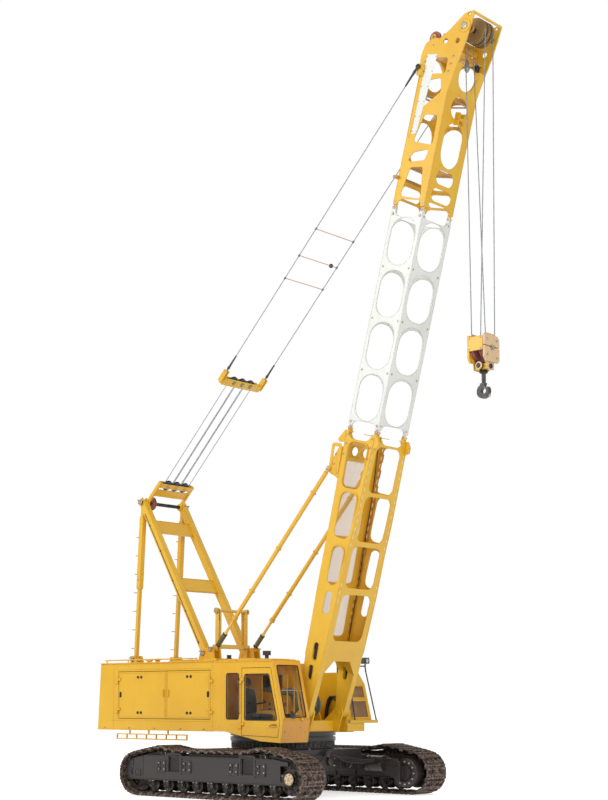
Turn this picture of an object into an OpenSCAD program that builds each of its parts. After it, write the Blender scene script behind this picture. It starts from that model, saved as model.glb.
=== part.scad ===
// Crawler crane: tracked undercarriage, slewing machinery house with cab, gantry,
// plate boom in three sections, pendants, boom stops and hook block.
// +X is the way the crane faces, +Y its left, +Z up. The origin is on the ground
// under the slewing axis.

/* [Tracks] */
// Length of a track over its shoes
track_len = 5200; // [4900:10:5600]
// Distance between the middles of the two tracks
track_gauge = 3900; // [3700:10:4200]
// Width of a track shoe
shoe_w = 700; // [600:10:760]
// Thickness of a shoe, from the rollers' tread to the ground
shoe_t = 100; // [80:5:120]
// Thickness of the chain under the shoes
chain_t = 50; // [40:5:60]
// Width of the chain
chain_w = 340; // [300:10:380]
// Number of shoes in a track
shoe_count = 46; // [40:1:52]
// Radius of the idler and sprocket treads
end_wheel_r = 365; // [330:5:400]
// Distance of each carrier roller from the middle of the track
carrier_x = 1400; // [1200:10:1500]
// Height of the track's tread over a carrier roller
carrier_top_z = 960; // [940:5:1000]
// Height of the upper run's tread between the carrier rollers
upper_run_z = 885; // [870:5:920]
// Radius of a bottom roller
roller_r = 150; // [120:5:170]
// Distance between two bottom rollers
roller_pitch = 425; // [380:5:440]
// Number of bottom rollers on each side
roller_count = 9; // [7:1:9]
// Radius of a carrier roller
carrier_r = 110; // [90:5:130]
// Width of a roller's body
roller_w = 290; // [240:10:300]

/* [Track frames and carbody] */
// Width over a track frame's side plates
frame_w = 440; // [400:10:480]
// Thickness of the side plates
frame_t = 30; // [20:5:40]
// Bottom edge of the side plates
frame_bottom_z = 335; // [300:5:380]
// Top edge of the side plates
frame_top_z = 840; // [800:5:860]
// Distance of each cross beam from the slewing axis
cross_x = 1030; // [900:10:1150]
// Width of a cross beam
cross_w = 300; // [220:10:320]
// Height of a cross beam
cross_h = 300; // [220:10:310]
// Top of the carbody's deck
carbody_top_z = 960; // [900:10:990]
// Radius of the slewing ring
ring_r = 1090; // [950:10:1120]
// Height of the split between the two rings
ring_split_z = 1130; // [1100:5:1160]

/* [Turntable and house] */
// Half the width of the machinery house
house_half_w = 1550; // [1450:10:1650]
// Back wall of the machinery house
house_rear_x = -4130; // [-4400:10:-3900]
// Lean of the back wall, from roof to floor
rear_lean = 80; // [0:5:150]
// Front wall of the machinery house
house_front_x = -520; // [-700:10:-400]
// Underside of the turntable
floor_z = 1330; // [1310:5:1400]
// Height of the turntable's main beams
beam_h = 220; // [180:5:260]
// Roof of the machinery house
roof_z = 2770; // [2600:10:2900]
// Thickness of the house's walls
wall_t = 40; // [25:5:60]
// Roof of the left front housing
left_roof_z = 2550; // [2400:10:2700]

/* [Cab] */
// Inner side of the cab, from the crane's middle plane
cab_inner_y = 735; // [720:5:780]
// Front of the cab at its roof
cab_roof_x = 1120; // [1000:10:1250]
// Front of the cab at its window sill
cab_sill_x = 1400; // [1300:10:1450]
// Height of the cab's window sill
cab_sill_z = 1560; // [1500:10:1700]
// Underside of the cab at its front
cab_bottom_z = 1125; // [1110:5:1200]

/* [Gantry] */
// Distance of the gantry's legs from the middle plane
gantry_y = 615; // [560:5:650]
// Foot of a front leg
leg_foot_x = -1680; // [-1900:10:-1500]
// Height of a front leg's foot pin
leg_foot_z = 2980; // [2900:10:3100]
// Top of the gantry
gantry_top_x = -3740; // [-3900:10:-3500]
// Height of the gantry's top pin
gantry_top_z = 6440; // [6200:10:6700]
// Foot of a rear strut
strut_foot_x = -3930; // [-4000:10:-3700]
// Square section of a front leg
leg_size = 150; // [120:5:180]

/* [Boom] */
// Foot pins in front of the slewing axis
foot_x = 1150; // [1050:10:1250]
// Height of the foot pins
foot_z = 1720; // [1650:10:1800]
// Angle of the boom above level
boom_angle = 74.7; // [60:0.1:78]
// Length of the base section, from foot pin to joint
base_len = 5850; // [5400:10:6200]
// Length of the middle section
insert_len = 4510; // [4000:10:5000]
// Length of the head section, from joint to sheave axle
head_len = 3640; // [3400:10:3900]
// Half the width of the middle and head sections
boom_half_w = 475; // [450:5:500]
// Half the width of the base section at its top
base_half_w = 535; // [520:5:560]
// Front face of the boom, below the line of the foot pins
boom_front = 295; // [250:5:320]
// Rear face of the boom, above the line of the foot pins
boom_rear = 505; // [460:5:550]
// Outer side of a boom leg at its foot
leg_outer_y = 620; // [600:5:640]
// Inner side of a boom leg
leg_inner_y = 480; // [460:5:500]
// Thickness of the boom's plates
plate_t = 16; // [10:1:24]
// Rear face of the base section at its top, above the line of the foot pins
base_rear = 465; // [440:5:490]
// Radius of the foot pins
foot_pin_r = 45; // [35:1:55]
// How far the head sheaves' axle lies in front of the line of the foot pins
head_drop = 400; // [360:5:430]
// Radius of the rope groove on the head and hook sheaves
sheave_r = 230; // [190:5:250]
// Distance of the hoist sheaves from the middle plane
hoist_sheave_y = 130; // [110:5:150]

/* [Pendants and ropes] */
// Distance of the pendants from the middle plane
pendant_y = 612; // [600:2:620]
// Place of the pendant ear beyond the head section's joint
ear_along = 2803; // [2600:10:2900]
// Place of the pendant ear behind the line of the foot pins
ear_v = 470; // [420:5:480]
// Length of the luffing ropes, from the gantry's top pin to the floating block
luff_rope_len = 3520; // [3300:10:3700]
// Radius of a pendant rope
pendant_r = 14; // [10:1:20]
// Radius of the thinnest luffing rope
luff_rope_r = 8; // [6:1:10]
// Radius of a hoist rope
hoist_rope_r = 10; // [7:1:14]
// Height of the hook block's sheave axle
hook_axle_z = 8720; // [8000:10:9500]

/* [Boom stops] */
// Distance of the boom stops from the middle plane
stop_y = 587; // [575:1:600]
// Lower pin of the boom stops
stop_foot_x = -1435; // [-1500:5:-1350]
// Height of the boom stops' lower pin
stop_foot_z = 3060; // [3000:5:3120]
// Place of the stops' upper pins along the boom
stop_s = 4940; // [4800:10:5100]
// Place of the stops' upper pins behind the line of the foot pins
stop_v = 700; // [660:5:720]
// Radius of a stop's outer tube
stop_tube_r = 46; // [40:1:60]

/* [Clearances] */
// Radial clearance of a pin in its hole
pin_play = 0.05; // [0.02:0.01:0.1]
// Gap between a seated piece and its seat
seat_gap = 0.3; // [0.1:0.1:1]
// Gap beside a moving piece
side_gap = 10; // [5:1:15]

/* [Hidden] */
$fn = 48;

yellow = "#E5B22E";
white = "#E9ECE7";
black = "#23201F";
brown = "#3B302E";
steel = "#9A9C9C";
orange = "#D88C12";
rope_grey = "#6F7374";
sheave_blue = "#2B3142";

right = -1;
left = 1;
track_y = track_gauge / 2;
wheel_x = track_len / 2 - shoe_t - end_wheel_r;
wheel_z = shoe_t + end_wheel_r;
boom_foot = [foot_x, foot_z];
function boom_point(s, v) = boom_foot
    + s * [cos(boom_angle), sin(boom_angle)] + v * [-sin(boom_angle), cos(boom_angle)];
ear_s = base_len + insert_len + ear_along;
ear = boom_point(ear_s, ear_v);
rope_dir = atan2(ear[1] - gantry_top_z, ear[0] - gantry_top_x);

// Small helpers

// A profile drawn in X and Z, pulled out along Y on both sides of the middle plane
module along_y(w) rotate([90, 0, 0]) linear_extrude(height = w, center = true) children();

// A profile drawn in X and Z, pulled out from one Y to another
module from_y(y1, y2) translate([0, max(y1, y2), 0])
    rotate([90, 0, 0]) linear_extrude(height = abs(y2 - y1)) children();

// A round bar along Y
module bar_y(x, z, y1, y2, r) translate([x, min(y1, y2), z])
    rotate([-90, 0, 0]) cylinder(r = r, h = abs(y2 - y1));

// A box given by its lowest and highest corners
module box(a, b) translate(a) cube(b - a);

// Places its children at a point, with +X along the line to a second point
module towards(a, b) translate([a[0], 0, a[1]])
    rotate([0, -atan2(b[1] - a[1], b[0] - a[0]), 0]) children();

function span(a, b) = norm(b - a);

// A rectangle with round corners, as true arcs
module round_rect(l, w, r) {
    square([l - 2 * r, w], center = true);
    square([l, w - 2 * r], center = true);
    for (x = [-1, 1], y = [-1, 1])
        translate([x * (l / 2 - r), y * (w / 2 - r)]) circle(r);
}

// A polygon with its corners rounded
module soft_poly(points, r) offset(r = r, $fn = 24) offset(delta = -r) polygon(points);

// A row of children at the given places along X
module row_x(places) for (x = places) translate([x, 0, 0]) children();

// Tracks

arc_steps = 14;
sag_run = 430;
sag_slope = atan((carrier_top_z - upper_run_z) / sag_run);
carrier_z = carrier_top_z - carrier_r / cos(sag_slope) - seat_gap;
idler_r = end_wheel_r * cos(90 / arc_steps) - seat_gap;

// The tread's path, a closed loop that starts under the rear wheel
function wheel_arc(x, a1, a2) = [for (i = [0:arc_steps]) let (a = a1 + (a2 - a1) * i / arc_steps)
    [x + end_wheel_r * cos(a), wheel_z + end_wheel_r * sin(a)]];
tread = concat(
    wheel_arc(wheel_x, -90, 88),
    [[carrier_x, carrier_top_z], [carrier_x - sag_run, upper_run_z],
     [-carrier_x + sag_run, upper_run_z], [-carrier_x, carrier_top_z]],
    wheel_arc(-wheel_x, 92, 270)
);
tread_n = len(tread);
function tread_side(i) = norm(tread[(i + 1) % tread_n] - tread[i]);
function length_to(i) = i == 0 ? 0 : length_to(i - 1) + tread_side(i - 1);
tread_len = length_to(tread_n);

// A point on the tread at a distance along it, moved outwards
function tread_at(s, out, i = 0) = s > tread_side(i) && i < tread_n - 1
    ? tread_at(s - tread_side(i), out, i + 1)
    : let (dir = (tread[(i + 1) % tread_n] - tread[i]) / tread_side(i))
      tread[i] + dir * s + [dir[1], -dir[0]] * out;

// Each shoe is a step out of the chain
shoe_pitch = tread_len / shoe_count;
shoe_gap = 0.08 * shoe_pitch;
shoe_web = chain_t + 0.4 * (shoe_t - chain_t);
function shoe_outline() = [for (k = [0:shoe_count - 1], c = [
        [shoe_gap, shoe_web], [shoe_gap * 2, shoe_t],
        [shoe_pitch - shoe_gap, shoe_t], [shoe_pitch, shoe_web]])
    tread_at((k * shoe_pitch + c[0]) % tread_len, c[1])];
function tread_moved(out) = [for (i = [0:tread_n - 1])
    tread_at(length_to(i) + 0.5, out)];

module track() color(brown) {
    difference() {
        along_y(shoe_w) intersection() {
            polygon(shoe_outline());
            translate([-track_len / 2, 0]) square([track_len, 1400]);
        }
        along_y(shoe_w + 2) polygon(tread_moved(chain_t));
    }
    difference() {
        along_y(chain_w) polygon(tread_moved(chain_t + 4));
        along_y(chain_w + 2) polygon(tread);
    }
}

// Track frames

roller_z = shoe_t + roller_r + seat_gap;
roller_places = [for (i = [0:roller_count - 1]) (i - (roller_count - 1) / 2) * roller_pitch];
axle_r = 40;
roller_lug_t = 25;
roller_lug_y = roller_w / 2 + side_gap / 2;
frame_front_x = 1900;
frame_rear_x = -2430;
frame_plate = [
    [frame_rear_x, frame_bottom_z], [frame_rear_x - 60, wheel_z], [frame_rear_x - 20, 680],
    [frame_rear_x + 180, 770], [frame_rear_x + 560, frame_top_z], [frame_front_x - 250, frame_top_z],
    [frame_front_x + 200, frame_top_z - 60], [frame_front_x + 200, frame_top_z - 130],
    [frame_front_x, frame_top_z - 130], [frame_front_x, frame_bottom_z + 70],
    [frame_front_x + 300, frame_bottom_z + 50], [frame_front_x + 300, frame_bottom_z]
];

module roller_lugs() for (y = [-1, 1]) {
    row_x(roller_places) from_y(y * roller_lug_y, y * (roller_lug_y + roller_lug_t)) difference() {
        translate([-70, roller_z - 62]) square([140, frame_bottom_z + 120 - roller_z + 62]);
        translate([0, roller_z]) circle(axle_r + pin_play);
    }
}

module frame_pocket(x) for (y = [-1, 1])
    translate([x, y * (frame_w / 2 + 10), frame_top_z - 210]) {
        box([-125, -10, -110], [125, 10, -90]);
        box([-125, -10, 90], [125, 10, 110]);
        for (s = [-1, 1]) box([s * 115 - 10, -10, -90], [s * 115 + 10, 10, 90]);
    }

module track_frame() color(brown) {
    difference() {
        for (y = [-1, 1])
            from_y(y * (frame_w / 2 - frame_t), y * frame_w / 2) polygon(frame_plate);
        row_x([-cross_x, cross_x]) box(
            [-cross_w / 2 - 6, -frame_w, cross_bottom_z - 6],
            [cross_w / 2 + 6, frame_w, cross_bottom_z + cross_h + 6]);
        bar_y(-wheel_x, wheel_z, -frame_w, frame_w, axle_r + pin_play);
    }
    frame_plates();
    roller_lugs();
    row_x([-cross_x - 370, -cross_x + 370, cross_x - 370, cross_x + 370]) frame_pocket(0);
    row_x([-carrier_x, carrier_x]) carrier_post();
    sprocket_yoke();
}

// The top plate between the side plates, and the floor that carries the roller lugs
inner_rear_x = -wheel_x + end_wheel_r + 40;
inner_front_x = wheel_x - end_wheel_r - 20;
module frame_plates() difference() {
    for (z = [frame_bottom_z + 110, frame_top_z - 170]) box(
        [inner_rear_x, -frame_w / 2 + frame_t, z],
        [inner_front_x, frame_w / 2 - frame_t, z + 20]);
    row_x([-cross_x, cross_x]) box(
        [-cross_w / 2 - 6, -frame_w, cross_bottom_z - 6],
        [cross_w / 2 + 6, frame_w, cross_bottom_z + cross_h + 6]);
}

module carrier_post() for (y = [-1, 1])
    from_y(y * (frame_w / 2 - frame_t - 20), y * (frame_w / 2 - frame_t)) difference() {
        translate([-60, frame_top_z - 170]) square([120, carrier_z + 60 - frame_top_z + 170]);
        translate([0, carrier_z]) circle(axle_r + pin_play);
    }

// The bearing that holds the sprocket's outer end, between the frame's two arms
yoke_t = 30;
module sprocket_yoke() for (y = [-1, 1])
    from_y(y * (frame_w / 2 - frame_t - yoke_t), y * (frame_w / 2 - frame_t)) difference() {
        union() {
            translate([frame_front_x - 120, wheel_z - 90]) square([wheel_x - frame_front_x + 120, 180]);
            translate([wheel_x, wheel_z]) circle(90);
            translate([frame_front_x - 120, frame_bottom_z]) square([60, 400]);
        }
        translate([wheel_x, wheel_z]) circle(axle_r + 20 + pin_play);
    }

cross_bottom_z = frame_top_z - cross_h - 15;

// Bottom rollers, carrier rollers and the idler, each on its own axle
module roller(r, w) {
    bar_y(0, 0, -w / 2, w / 2, r * 0.78);
    for (y = [-1, 1]) {
        bar_y(0, 0, y * w / 2, y * (w / 2 - 70), r);
        bar_y(0, 0, y * w / 2, y * (roller_lug_y + roller_lug_t + 20), axle_r);
    }
}

module rollers() color(black) {
    row_x(roller_places) translate([0, 0, roller_z]) roller(roller_r, roller_w);
    row_x([-carrier_x, carrier_x]) translate([0, 0, carrier_z]) {
        bar_y(0, 0, -chain_w / 2 + 20, chain_w / 2 - 20, carrier_r);
        bar_y(0, 0, -frame_w / 2 + frame_t + 0, frame_w / 2 - frame_t, axle_r);
    }
    translate([-wheel_x, 0, wheel_z]) idler();
}

module idler() {
    difference() {
        bar_y(0, 0, -110, 110, idler_r);
        for (y = [-1, 1]) bar_y(0, 0, y * 60, y * 120, end_wheel_r - 60);
    }
    bar_y(0, 0, -frame_w / 2 + frame_t + side_gap, frame_w / 2 - frame_t - side_gap, 80);
    bar_y(0, 0, -frame_w / 2 - 20, frame_w / 2 + 20, axle_r);
}

// The driving wheel with its teeth and the pale cover on its outer hub
tooth_count = 13;
sprocket_hub_y = frame_w / 2 - frame_t - yoke_t - side_gap / 2;
module sprocket(side) translate([wheel_x, 0, wheel_z]) {
    color(black) {
        difference() {
            bar_y(0, 0, -90, 90, end_wheel_r - 50);
            for (i = [0:tooth_count - 1]) rotate([0, (i + 0.5) * 360 / tooth_count, 0])
                bar_y(end_wheel_r - 30, 0, -100, 100, 48);
        }
        for (y = [-1, 1]) bar_y(0, 0, y * 90, y * 120, end_wheel_r - 45);
        bar_y(0, 0, -sprocket_hub_y, sprocket_hub_y, 110);
        bar_y(0, 0, -frame_w / 2 - 14, frame_w / 2 + 14, axle_r + 20);
    }
    color(white) bar_y(0, 0, side * (frame_w / 2 + 2), side * (frame_w / 2 + 14), 112);
}

module at_side(side) translate([0, side * track_y, 0]) children();

// Travel motors and final drives on the inner side of each track, at the front
drive_inner_y = track_y - shoe_w / 2 - 280;
module travel_drive(side) {
    final_y1 = side * (track_y - frame_w / 2 - 14 - seat_gap);
    final_y2 = side * (track_y - shoe_w / 2 - 150);
    bar_y(wheel_x, wheel_z, final_y1, final_y2, 290);
    bar_y(wheel_x, wheel_z, final_y2, side * (track_y - shoe_w / 2 - 190), 150);
    from_y(final_y2, side * drive_inner_y) polygon([
        [wheel_x - 60, wheel_z - 180], [wheel_x - 60, wheel_z + 220],
        [wheel_x - 480, wheel_z + 330], [wheel_x - 480, wheel_z]]);
    translate([cross_x + cross_w / 2 + seat_gap, side * (drive_inner_y + 60), wheel_z + 180])
        rotate([0, 90, 0]) cylinder(r = 170, h = wheel_x - 480 - cross_x - cross_w / 2);
}

module travel_drives() color(brown) for (side = [right, left]) travel_drive(side);

// Carbody: two cross beams, a central box and the pedestal of the ring
carbody_half_y = track_y - shoe_w / 2 - 420;
module carbody() color(brown) {
    row_x([-cross_x, cross_x]) box(
        [-cross_w / 2, -track_y - frame_w / 2 + frame_t, cross_bottom_z],
        [cross_w / 2, track_y + frame_w / 2 - frame_t, cross_bottom_z + cross_h]);
    difference() {
        translate([0, 0, 600]) linear_extrude(height = carbody_top_z - 600)
            polygon([for (x = [-1, 1], k = x > 0 ? [-1, 1] : [1, -1])
                [x * (cross_x + cross_w / 2), k * carbody_half_y * 0.98]]);
        row_x([-cross_x, cross_x]) box(
            [-cross_w / 2 - 0.01, -4000, cross_bottom_z],
            [cross_w / 2 + 0.01, 4000, cross_bottom_z + cross_h]);
    }
    translate([0, 0, carbody_top_z]) cylinder(r = ring_r - 60, h = 40);
    for (x = [-1, 1]) tow_lug(x);
    translate([cross_x + cross_w / 2, 0, 0]) {
        translate([0, 0, 880]) rotate([0, 90, 0]) cylinder(r = 70, h = 60);
        translate([0, 120, 720]) rotate([0, 90, 0]) cylinder(r = 90, h = 40);
    }
}

tow_hole_r = 40;
tow_z = 660;
module tow_lug(x) for (y = [-600, 600]) translate([x * (cross_x + cross_w / 2), y, tow_z])
    along_y(50) difference() {
        union() {
            translate([x > 0 ? 0 : -110, -80]) square([110, 160]);
            translate([x * 110, 0]) circle(80);
        }
        translate([x * 110, 0]) circle(tow_hole_r);
    }

// Slewing ring: toothed lower ring
gear_teeth = 72;
module ring_gear() color(black) translate([0, 0, carbody_top_z + 40]) difference() {
    cylinder(r = ring_r, h = ring_split_z - carbody_top_z - 40 - seat_gap);
    for (i = [0:gear_teeth - 1]) rotate([0, 0, i * 360 / gear_teeth])
        translate([ring_r + 4, 0, -1]) cylinder(r = 26, h = 90, $fn = 8);
    translate([0, 0, -1]) cylinder(r = ring_r - 320, h = 400);
}

// Turntable: upper ring, main beams, deck, boom foot lugs and gantry brackets
beam_y = 620;
beam_w = 130;
deck_z = floor_z + beam_h;
front_box_x = 1020;
module turntable() {
    color(black) difference() {
        translate([0, 0, ring_split_z]) cylinder(r = ring_r + 20, h = floor_z - ring_split_z);
        translate([0, 0, ring_split_z + 80]) difference() {
            cylinder(r = ring_r + 30, h = 26);
            cylinder(r = ring_r - 30, h = 26);
        }
        translate([0, 0, ring_split_z - 1]) cylinder(r = ring_r - 320, h = floor_z - ring_split_z + 1);
    }
    color(yellow) {
        for (y = [-1, 1]) box_beam(y);
        box([house_rear_x + 200, -house_half_w + wall_t + 1, deck_z - 20],
            [house_front_x, house_half_w - wall_t - 1, deck_z]);
        box([house_front_x, -cab_inner_y, deck_z - 20], [front_box_x, cab_inner_y, deck_z]);
        box([house_front_x, cab_inner_y - 10, deck_z - 60], [1250, house_half_w + 90, deck_z]);
        front_box();
        for (x = [-3200, -2000, -900]) box(
            [x - 40, -house_half_w + wall_t + 1, floor_z], [x + 40, house_half_w - wall_t - 1, deck_z - 20]);
        foot_lugs();
        gantry_brackets();
    }
}

module box_beam(y) translate([0, y * beam_y, 0])
    box([house_rear_x + 220, -beam_w / 2, floor_z], [front_box_x, beam_w / 2, deck_z - 20]);

module front_box() {
    box([front_box_x - 200, -cab_inner_y + 20, floor_z - 30], [front_box_x, 1100, deck_z - 20]);
    box([front_box_x - 20, 640, floor_z - 10], [front_box_x + 215, 1200, deck_z - 59]);
}

// Two plates beside each boom leg, with the pin through them
lug_t = 40;
foot_boss_r = 110;
module foot_lugs() for (side = [right, left]) {
    for (y = [leg_inner_y - side_gap - lug_t, leg_outer_y + side_gap])
        from_y(side * y, side * (y + lug_t)) difference() {
            union() {
                translate([foot_x, foot_z]) circle(foot_boss_r + 15);
                polygon([[front_box_x - 260, floor_z], [front_box_x + 120, floor_z],
                    [foot_x + 120, foot_z - 40], [foot_x - 115, foot_z + 50], [front_box_x - 260, deck_z]]);
            }
            translate([foot_x, foot_z]) circle(foot_pin_r - 0.001);
        }
    bar_y(foot_x, foot_z, side * (leg_inner_y - side_gap - lug_t - 12),
        side * (leg_outer_y + side_gap + lug_t + 12), foot_pin_r);
}

// The brackets stand on the main beams and come out through the roof
bracket_t = 40;
leg_gap = leg_size / 2 + side_gap / 2;
module gantry_brackets() for (side = [right, left]) {
    for (y = [gantry_y - leg_gap - bracket_t, gantry_y + leg_gap])
        from_y(side * y, side * (y + bracket_t)) difference() {
            polygon([[leg_foot_x - 420, deck_z], [leg_foot_x + 420, deck_z],
                [stop_foot_x + 110, roof_z], [stop_foot_x + 60, stop_foot_z + 60],
                [leg_foot_x - 60, leg_foot_z + 90], [leg_foot_x - 150, roof_z]]);
            translate([leg_foot_x, leg_foot_z]) circle(leg_pin_r + pin_play);
            translate([stop_foot_x, stop_foot_z]) circle(stop_pin_r + pin_play);
        }
    for (y = [gantry_y - leg_gap - bracket_t, gantry_y + leg_gap])
        from_y(side * y, side * (y + bracket_t)) difference() {
            polygon([[strut_foot_x + 160, deck_z], [strut_foot_x + 160, roof_z],
                [strut_foot_x + 70, strut_foot_z + 80], [strut_foot_x - 70, strut_foot_z + 80],
                [strut_foot_x - 90, deck_z]]);
            translate([strut_foot_x, strut_foot_z]) circle(leg_pin_r + pin_play);
        }
}

leg_pin_r = 35;
stop_pin_r = 30;
strut_foot_z = roof_z + 110;

weight_x = house_rear_x + wall_t + rear_lean;
weight_l = 560;
weight_h = 720;
module counterweight() color(yellow) for (w = [
    [-house_half_w + wall_t + 1, -gantry_y - leg_gap - bracket_t - 5],
    [-gantry_y + leg_gap + bracket_t + 5, gantry_y - leg_gap - bracket_t - 5],
    [gantry_y + leg_gap + bracket_t + 5, house_half_w - wall_t - 1]])
    box([weight_x, w[0], deck_z], [weight_x + weight_l, w[1], deck_z + weight_h]);

module engine() color(steel) box([-3350, -440, deck_z], [-1950, 440, deck_z + 1000]);

// Machinery house: walls and roof with its door openings
door_bottom_z = deck_z + 20;
door_top_z = 2590;
door_split_x = -1950;
door_rear_x = -3470;
door_front_x = -620;
rear_door_half = 620;

module house_body(inset, top) intersection() {
    along_y(2 * (house_half_w - inset)) polygon([
        [house_rear_x - (inset > 0 ? -inset : 0), floor_z], [house_front_x - inset, floor_z],
        [house_front_x - inset, top], [house_rear_x + rear_lean + inset, top]]);
}

module house_shell() color(yellow) {
    difference() {
        house_body(0, roof_z);
        difference() {
            house_body(wall_t, roof_z - wall_t);
        }
        translate([0, 0, -1000]) house_body(wall_t, roof_z);
        for (side = [right, left]) box_hole([door_rear_x, side * house_half_w, door_bottom_z],
            [door_front_x, side * (house_half_w - wall_t), door_top_z]);
        roof_slots();
        front_opening();
        box([house_front_x - wall_t - 5, -house_half_w + wall_t, floor_z - 5],
            [house_front_x + 5, house_half_w - wall_t, deck_z]);
    }
    rear_grille();
    for (side = [right, left], z = door_knuckles) {
        fixed_knuckle(side, door_rear_x, 1, z);
        fixed_knuckle(side, door_front_x, -1, z);
    }
}

module box_hole(a, b) box(
    [a[0], min(a[1], b[1]) - 5, a[2]], [b[0], max(a[1], b[1]) + 5, b[2]]);

// Slots in the roof for the gantry's brackets, and a gap round the boom stops
module roof_slots() for (side = [right, left], y = [gantry_y - leg_gap - bracket_t, gantry_y + leg_gap]) {
    box([leg_foot_x - 170, side * (y + bracket_t / 2) - bracket_t / 2 - seat_gap, roof_z - 100],
        [stop_foot_x + 125, side * (y + bracket_t / 2) + bracket_t / 2 + seat_gap, roof_z + 50]);
    box([strut_foot_x - 95, side * (y + bracket_t / 2) - bracket_t / 2 - seat_gap, roof_z - 100],
        [strut_foot_x + 165, side * (y + bracket_t / 2) + bracket_t / 2 + seat_gap, roof_z + 50]);
}

// The house is open to the winch bay at its front
module front_opening() box(
    [house_front_x - wall_t - 5, -560, deck_z + 60], [house_front_x + 5, 560, roof_z - 260]);

module rear_grille() for (i = [0:9]) translate([0, 0, deck_z + 250 + i * 90])
    along_y(2 * rear_door_half) polygon([
        [house_rear_x - 20 + (i * 90 + 250) / (roof_z - floor_z) * rear_lean, 0],
        [house_rear_x + 40 + (i * 90 + 250) / (roof_z - floor_z) * rear_lean, 40],
        [house_rear_x + 40 + (i * 90 + 250) / (roof_z - floor_z) * rear_lean, 60],
        [house_rear_x - 20 + (i * 90 + 250) / (roof_z - floor_z) * rear_lean, 20]]);

// Hinges: a knuckle and pin on the fixed wall, a knuckle on the leaf
hinge_r = 18;
hinge_pin_r = 8;
knuckle_h = 60;
function hinge_y(side) = side * (house_half_w + hinge_r + 4);

module fixed_knuckle(side, x, dir, z) {
    translate([x, hinge_y(side), z]) {
        cylinder(r = hinge_r, h = knuckle_h);
        cylinder(r = hinge_pin_r, h = 2 * knuckle_h + 10);
    }
    box_between([x - dir * 80, hinge_y(side) + side * 8, z], [x - dir * 4, side * (house_half_w - 2), z + knuckle_h]);
}

module leaf_knuckle(side, x, dir, z) difference() {
    union() {
        translate([x, hinge_y(side), z]) cylinder(r = hinge_r, h = knuckle_h);
        box_between([x, hinge_y(side) + side * 8, z],
            [x + dir * 80, side * house_half_w, z + knuckle_h]);
        box_between([x + dir * 14, hinge_y(side), z],
            [x + dir * 80, side * (house_half_w - 5), z + knuckle_h]);
    }
    translate([x, hinge_y(side), z - 1]) cylinder(r = hinge_pin_r + pin_play, h = knuckle_h + 2);
}
door_knuckles = [door_bottom_z + 120, door_top_z - 260];
leaf_lift = knuckle_h + seat_gap;

// Doors: a leaf hinged at its outer edge
module door_leaf(side, x_hinge, x_free) color(yellow) {
    dir = x_free > x_hinge ? 1 : -1;
    y_out = side * house_half_w;
    box_between(
        [x_hinge + dir * side_gap, y_out, door_bottom_z + side_gap],
        [x_free - dir * side_gap / 2, y_out - side * (wall_t - side_gap), door_top_z - side_gap]);
    for (z = door_knuckles) leaf_knuckle(side, x_hinge, dir, z + leaf_lift);
    box_between([x_free - dir * 90, y_out, door_bottom_z + 480],
        [x_free - dir * 60, y_out + side * 36, door_bottom_z + 620]);
}

module box_between(a, b) box(
    [min(a[0], b[0]), min(a[1], b[1]), min(a[2], b[2])],
    [max(a[0], b[0]), max(a[1], b[1]), max(a[2], b[2])]);

// Left front housing with its sloping front and two grilles
left_inner_y = 780;
left_front = [[house_front_x + seat_gap, deck_z], [1150, deck_z], [960, 2310],
    [790, left_roof_z], [house_front_x + seat_gap, left_roof_z]];
module left_housing() color(yellow) difference() {
    from_y(left_inner_y, house_half_w) polygon(left_front);
    for (g = [[1600, 1960], [2020, 2280]])
        box([820, left_inner_y + 90, g[0]], [1300, house_half_w - 90, g[1]]);
}

// Roof: hatches, low rail and the air cleaner's cap
rail_r = 13;
rail_h = 70;
module roof_deck() color(yellow) {
    box([-900, -house_half_w + 60, roof_z], [house_front_x, -gantry_y - 130, roof_z + 60]);
    box([-3000, -480, roof_z], [-2000, 480, roof_z + 70]);
    for (side = [right, left]) {
        for (x = [-3900:700:-900]) translate([x, side * (house_half_w - 40), roof_z])
            cylinder(r = rail_r, h = rail_h);
        translate([-3940, side * (house_half_w - 40), roof_z + rail_h])
            rotate([0, 90, 0]) cylinder(r = rail_r, h = 2880);
    }
    color(black) translate([316, -850, roof_z]) {
        cylinder(r = 40, h = 120);
        translate([0, 0, 120]) cylinder(r = 85, h = 90);
    }
}

// Folded step under the right side of the house
step_rear = -3500;
step_front = -1300;
module side_step() color(yellow) translate([0, -house_half_w + wall_t / 2, 0]) {
    for (x = [-3100, -2500, -1900]) box([x - 15, -15, floor_z - 80], [x + 15, 15, floor_z]);
    for (z = [100, 200]) box([step_rear, -30, floor_z - z], [step_front, 0, floor_z - z + 25]);
    for (i = [0:7]) translate([step_rear + 15 + i * (step_front - step_rear - 30) / 7, 0, 0])
        box([-12, -30, floor_z - 175], [12, 0, floor_z - 100]);
}

// Cab

cab_t = 35;
seat_floor_z = floor_z + 40;
foot_floor_z = cab_bottom_z + 65;
foot_floor_x = 760;
cab_profile = [
    [house_front_x + seat_gap, roof_z], [cab_roof_x, roof_z], [cab_sill_x, cab_sill_z],
    [cab_sill_x - 60, cab_bottom_z], [800, cab_bottom_z + 25], [-200, floor_z],
    [house_front_x + seat_gap, floor_z]];
cab_room = [
    [house_front_x + 60, roof_z - 50], [cab_roof_x - 45, roof_z - 50], [cab_sill_x - 45, cab_sill_z],
    [cab_sill_x - 105, foot_floor_z], [foot_floor_x, foot_floor_z], [foot_floor_x, seat_floor_z],
    [house_front_x + 60, seat_floor_z]];
cab_outer_y = house_half_w;
door_window = [[360, 1570], [1250, 1570], [1020, 2490], [360, 2490]];
rear_window = [[-156, 1585], [188, 1585], [188, 2510], [-156, 2510]];
cab_door_rear_x = 270;
cab_knuckles = [1400, 2300];
cab_door_outline = [
    [cab_door_rear_x, 1260], [1270, 1230], [1325, 1540], [1075, 2620], [cab_door_rear_x, 2620]];

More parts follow.
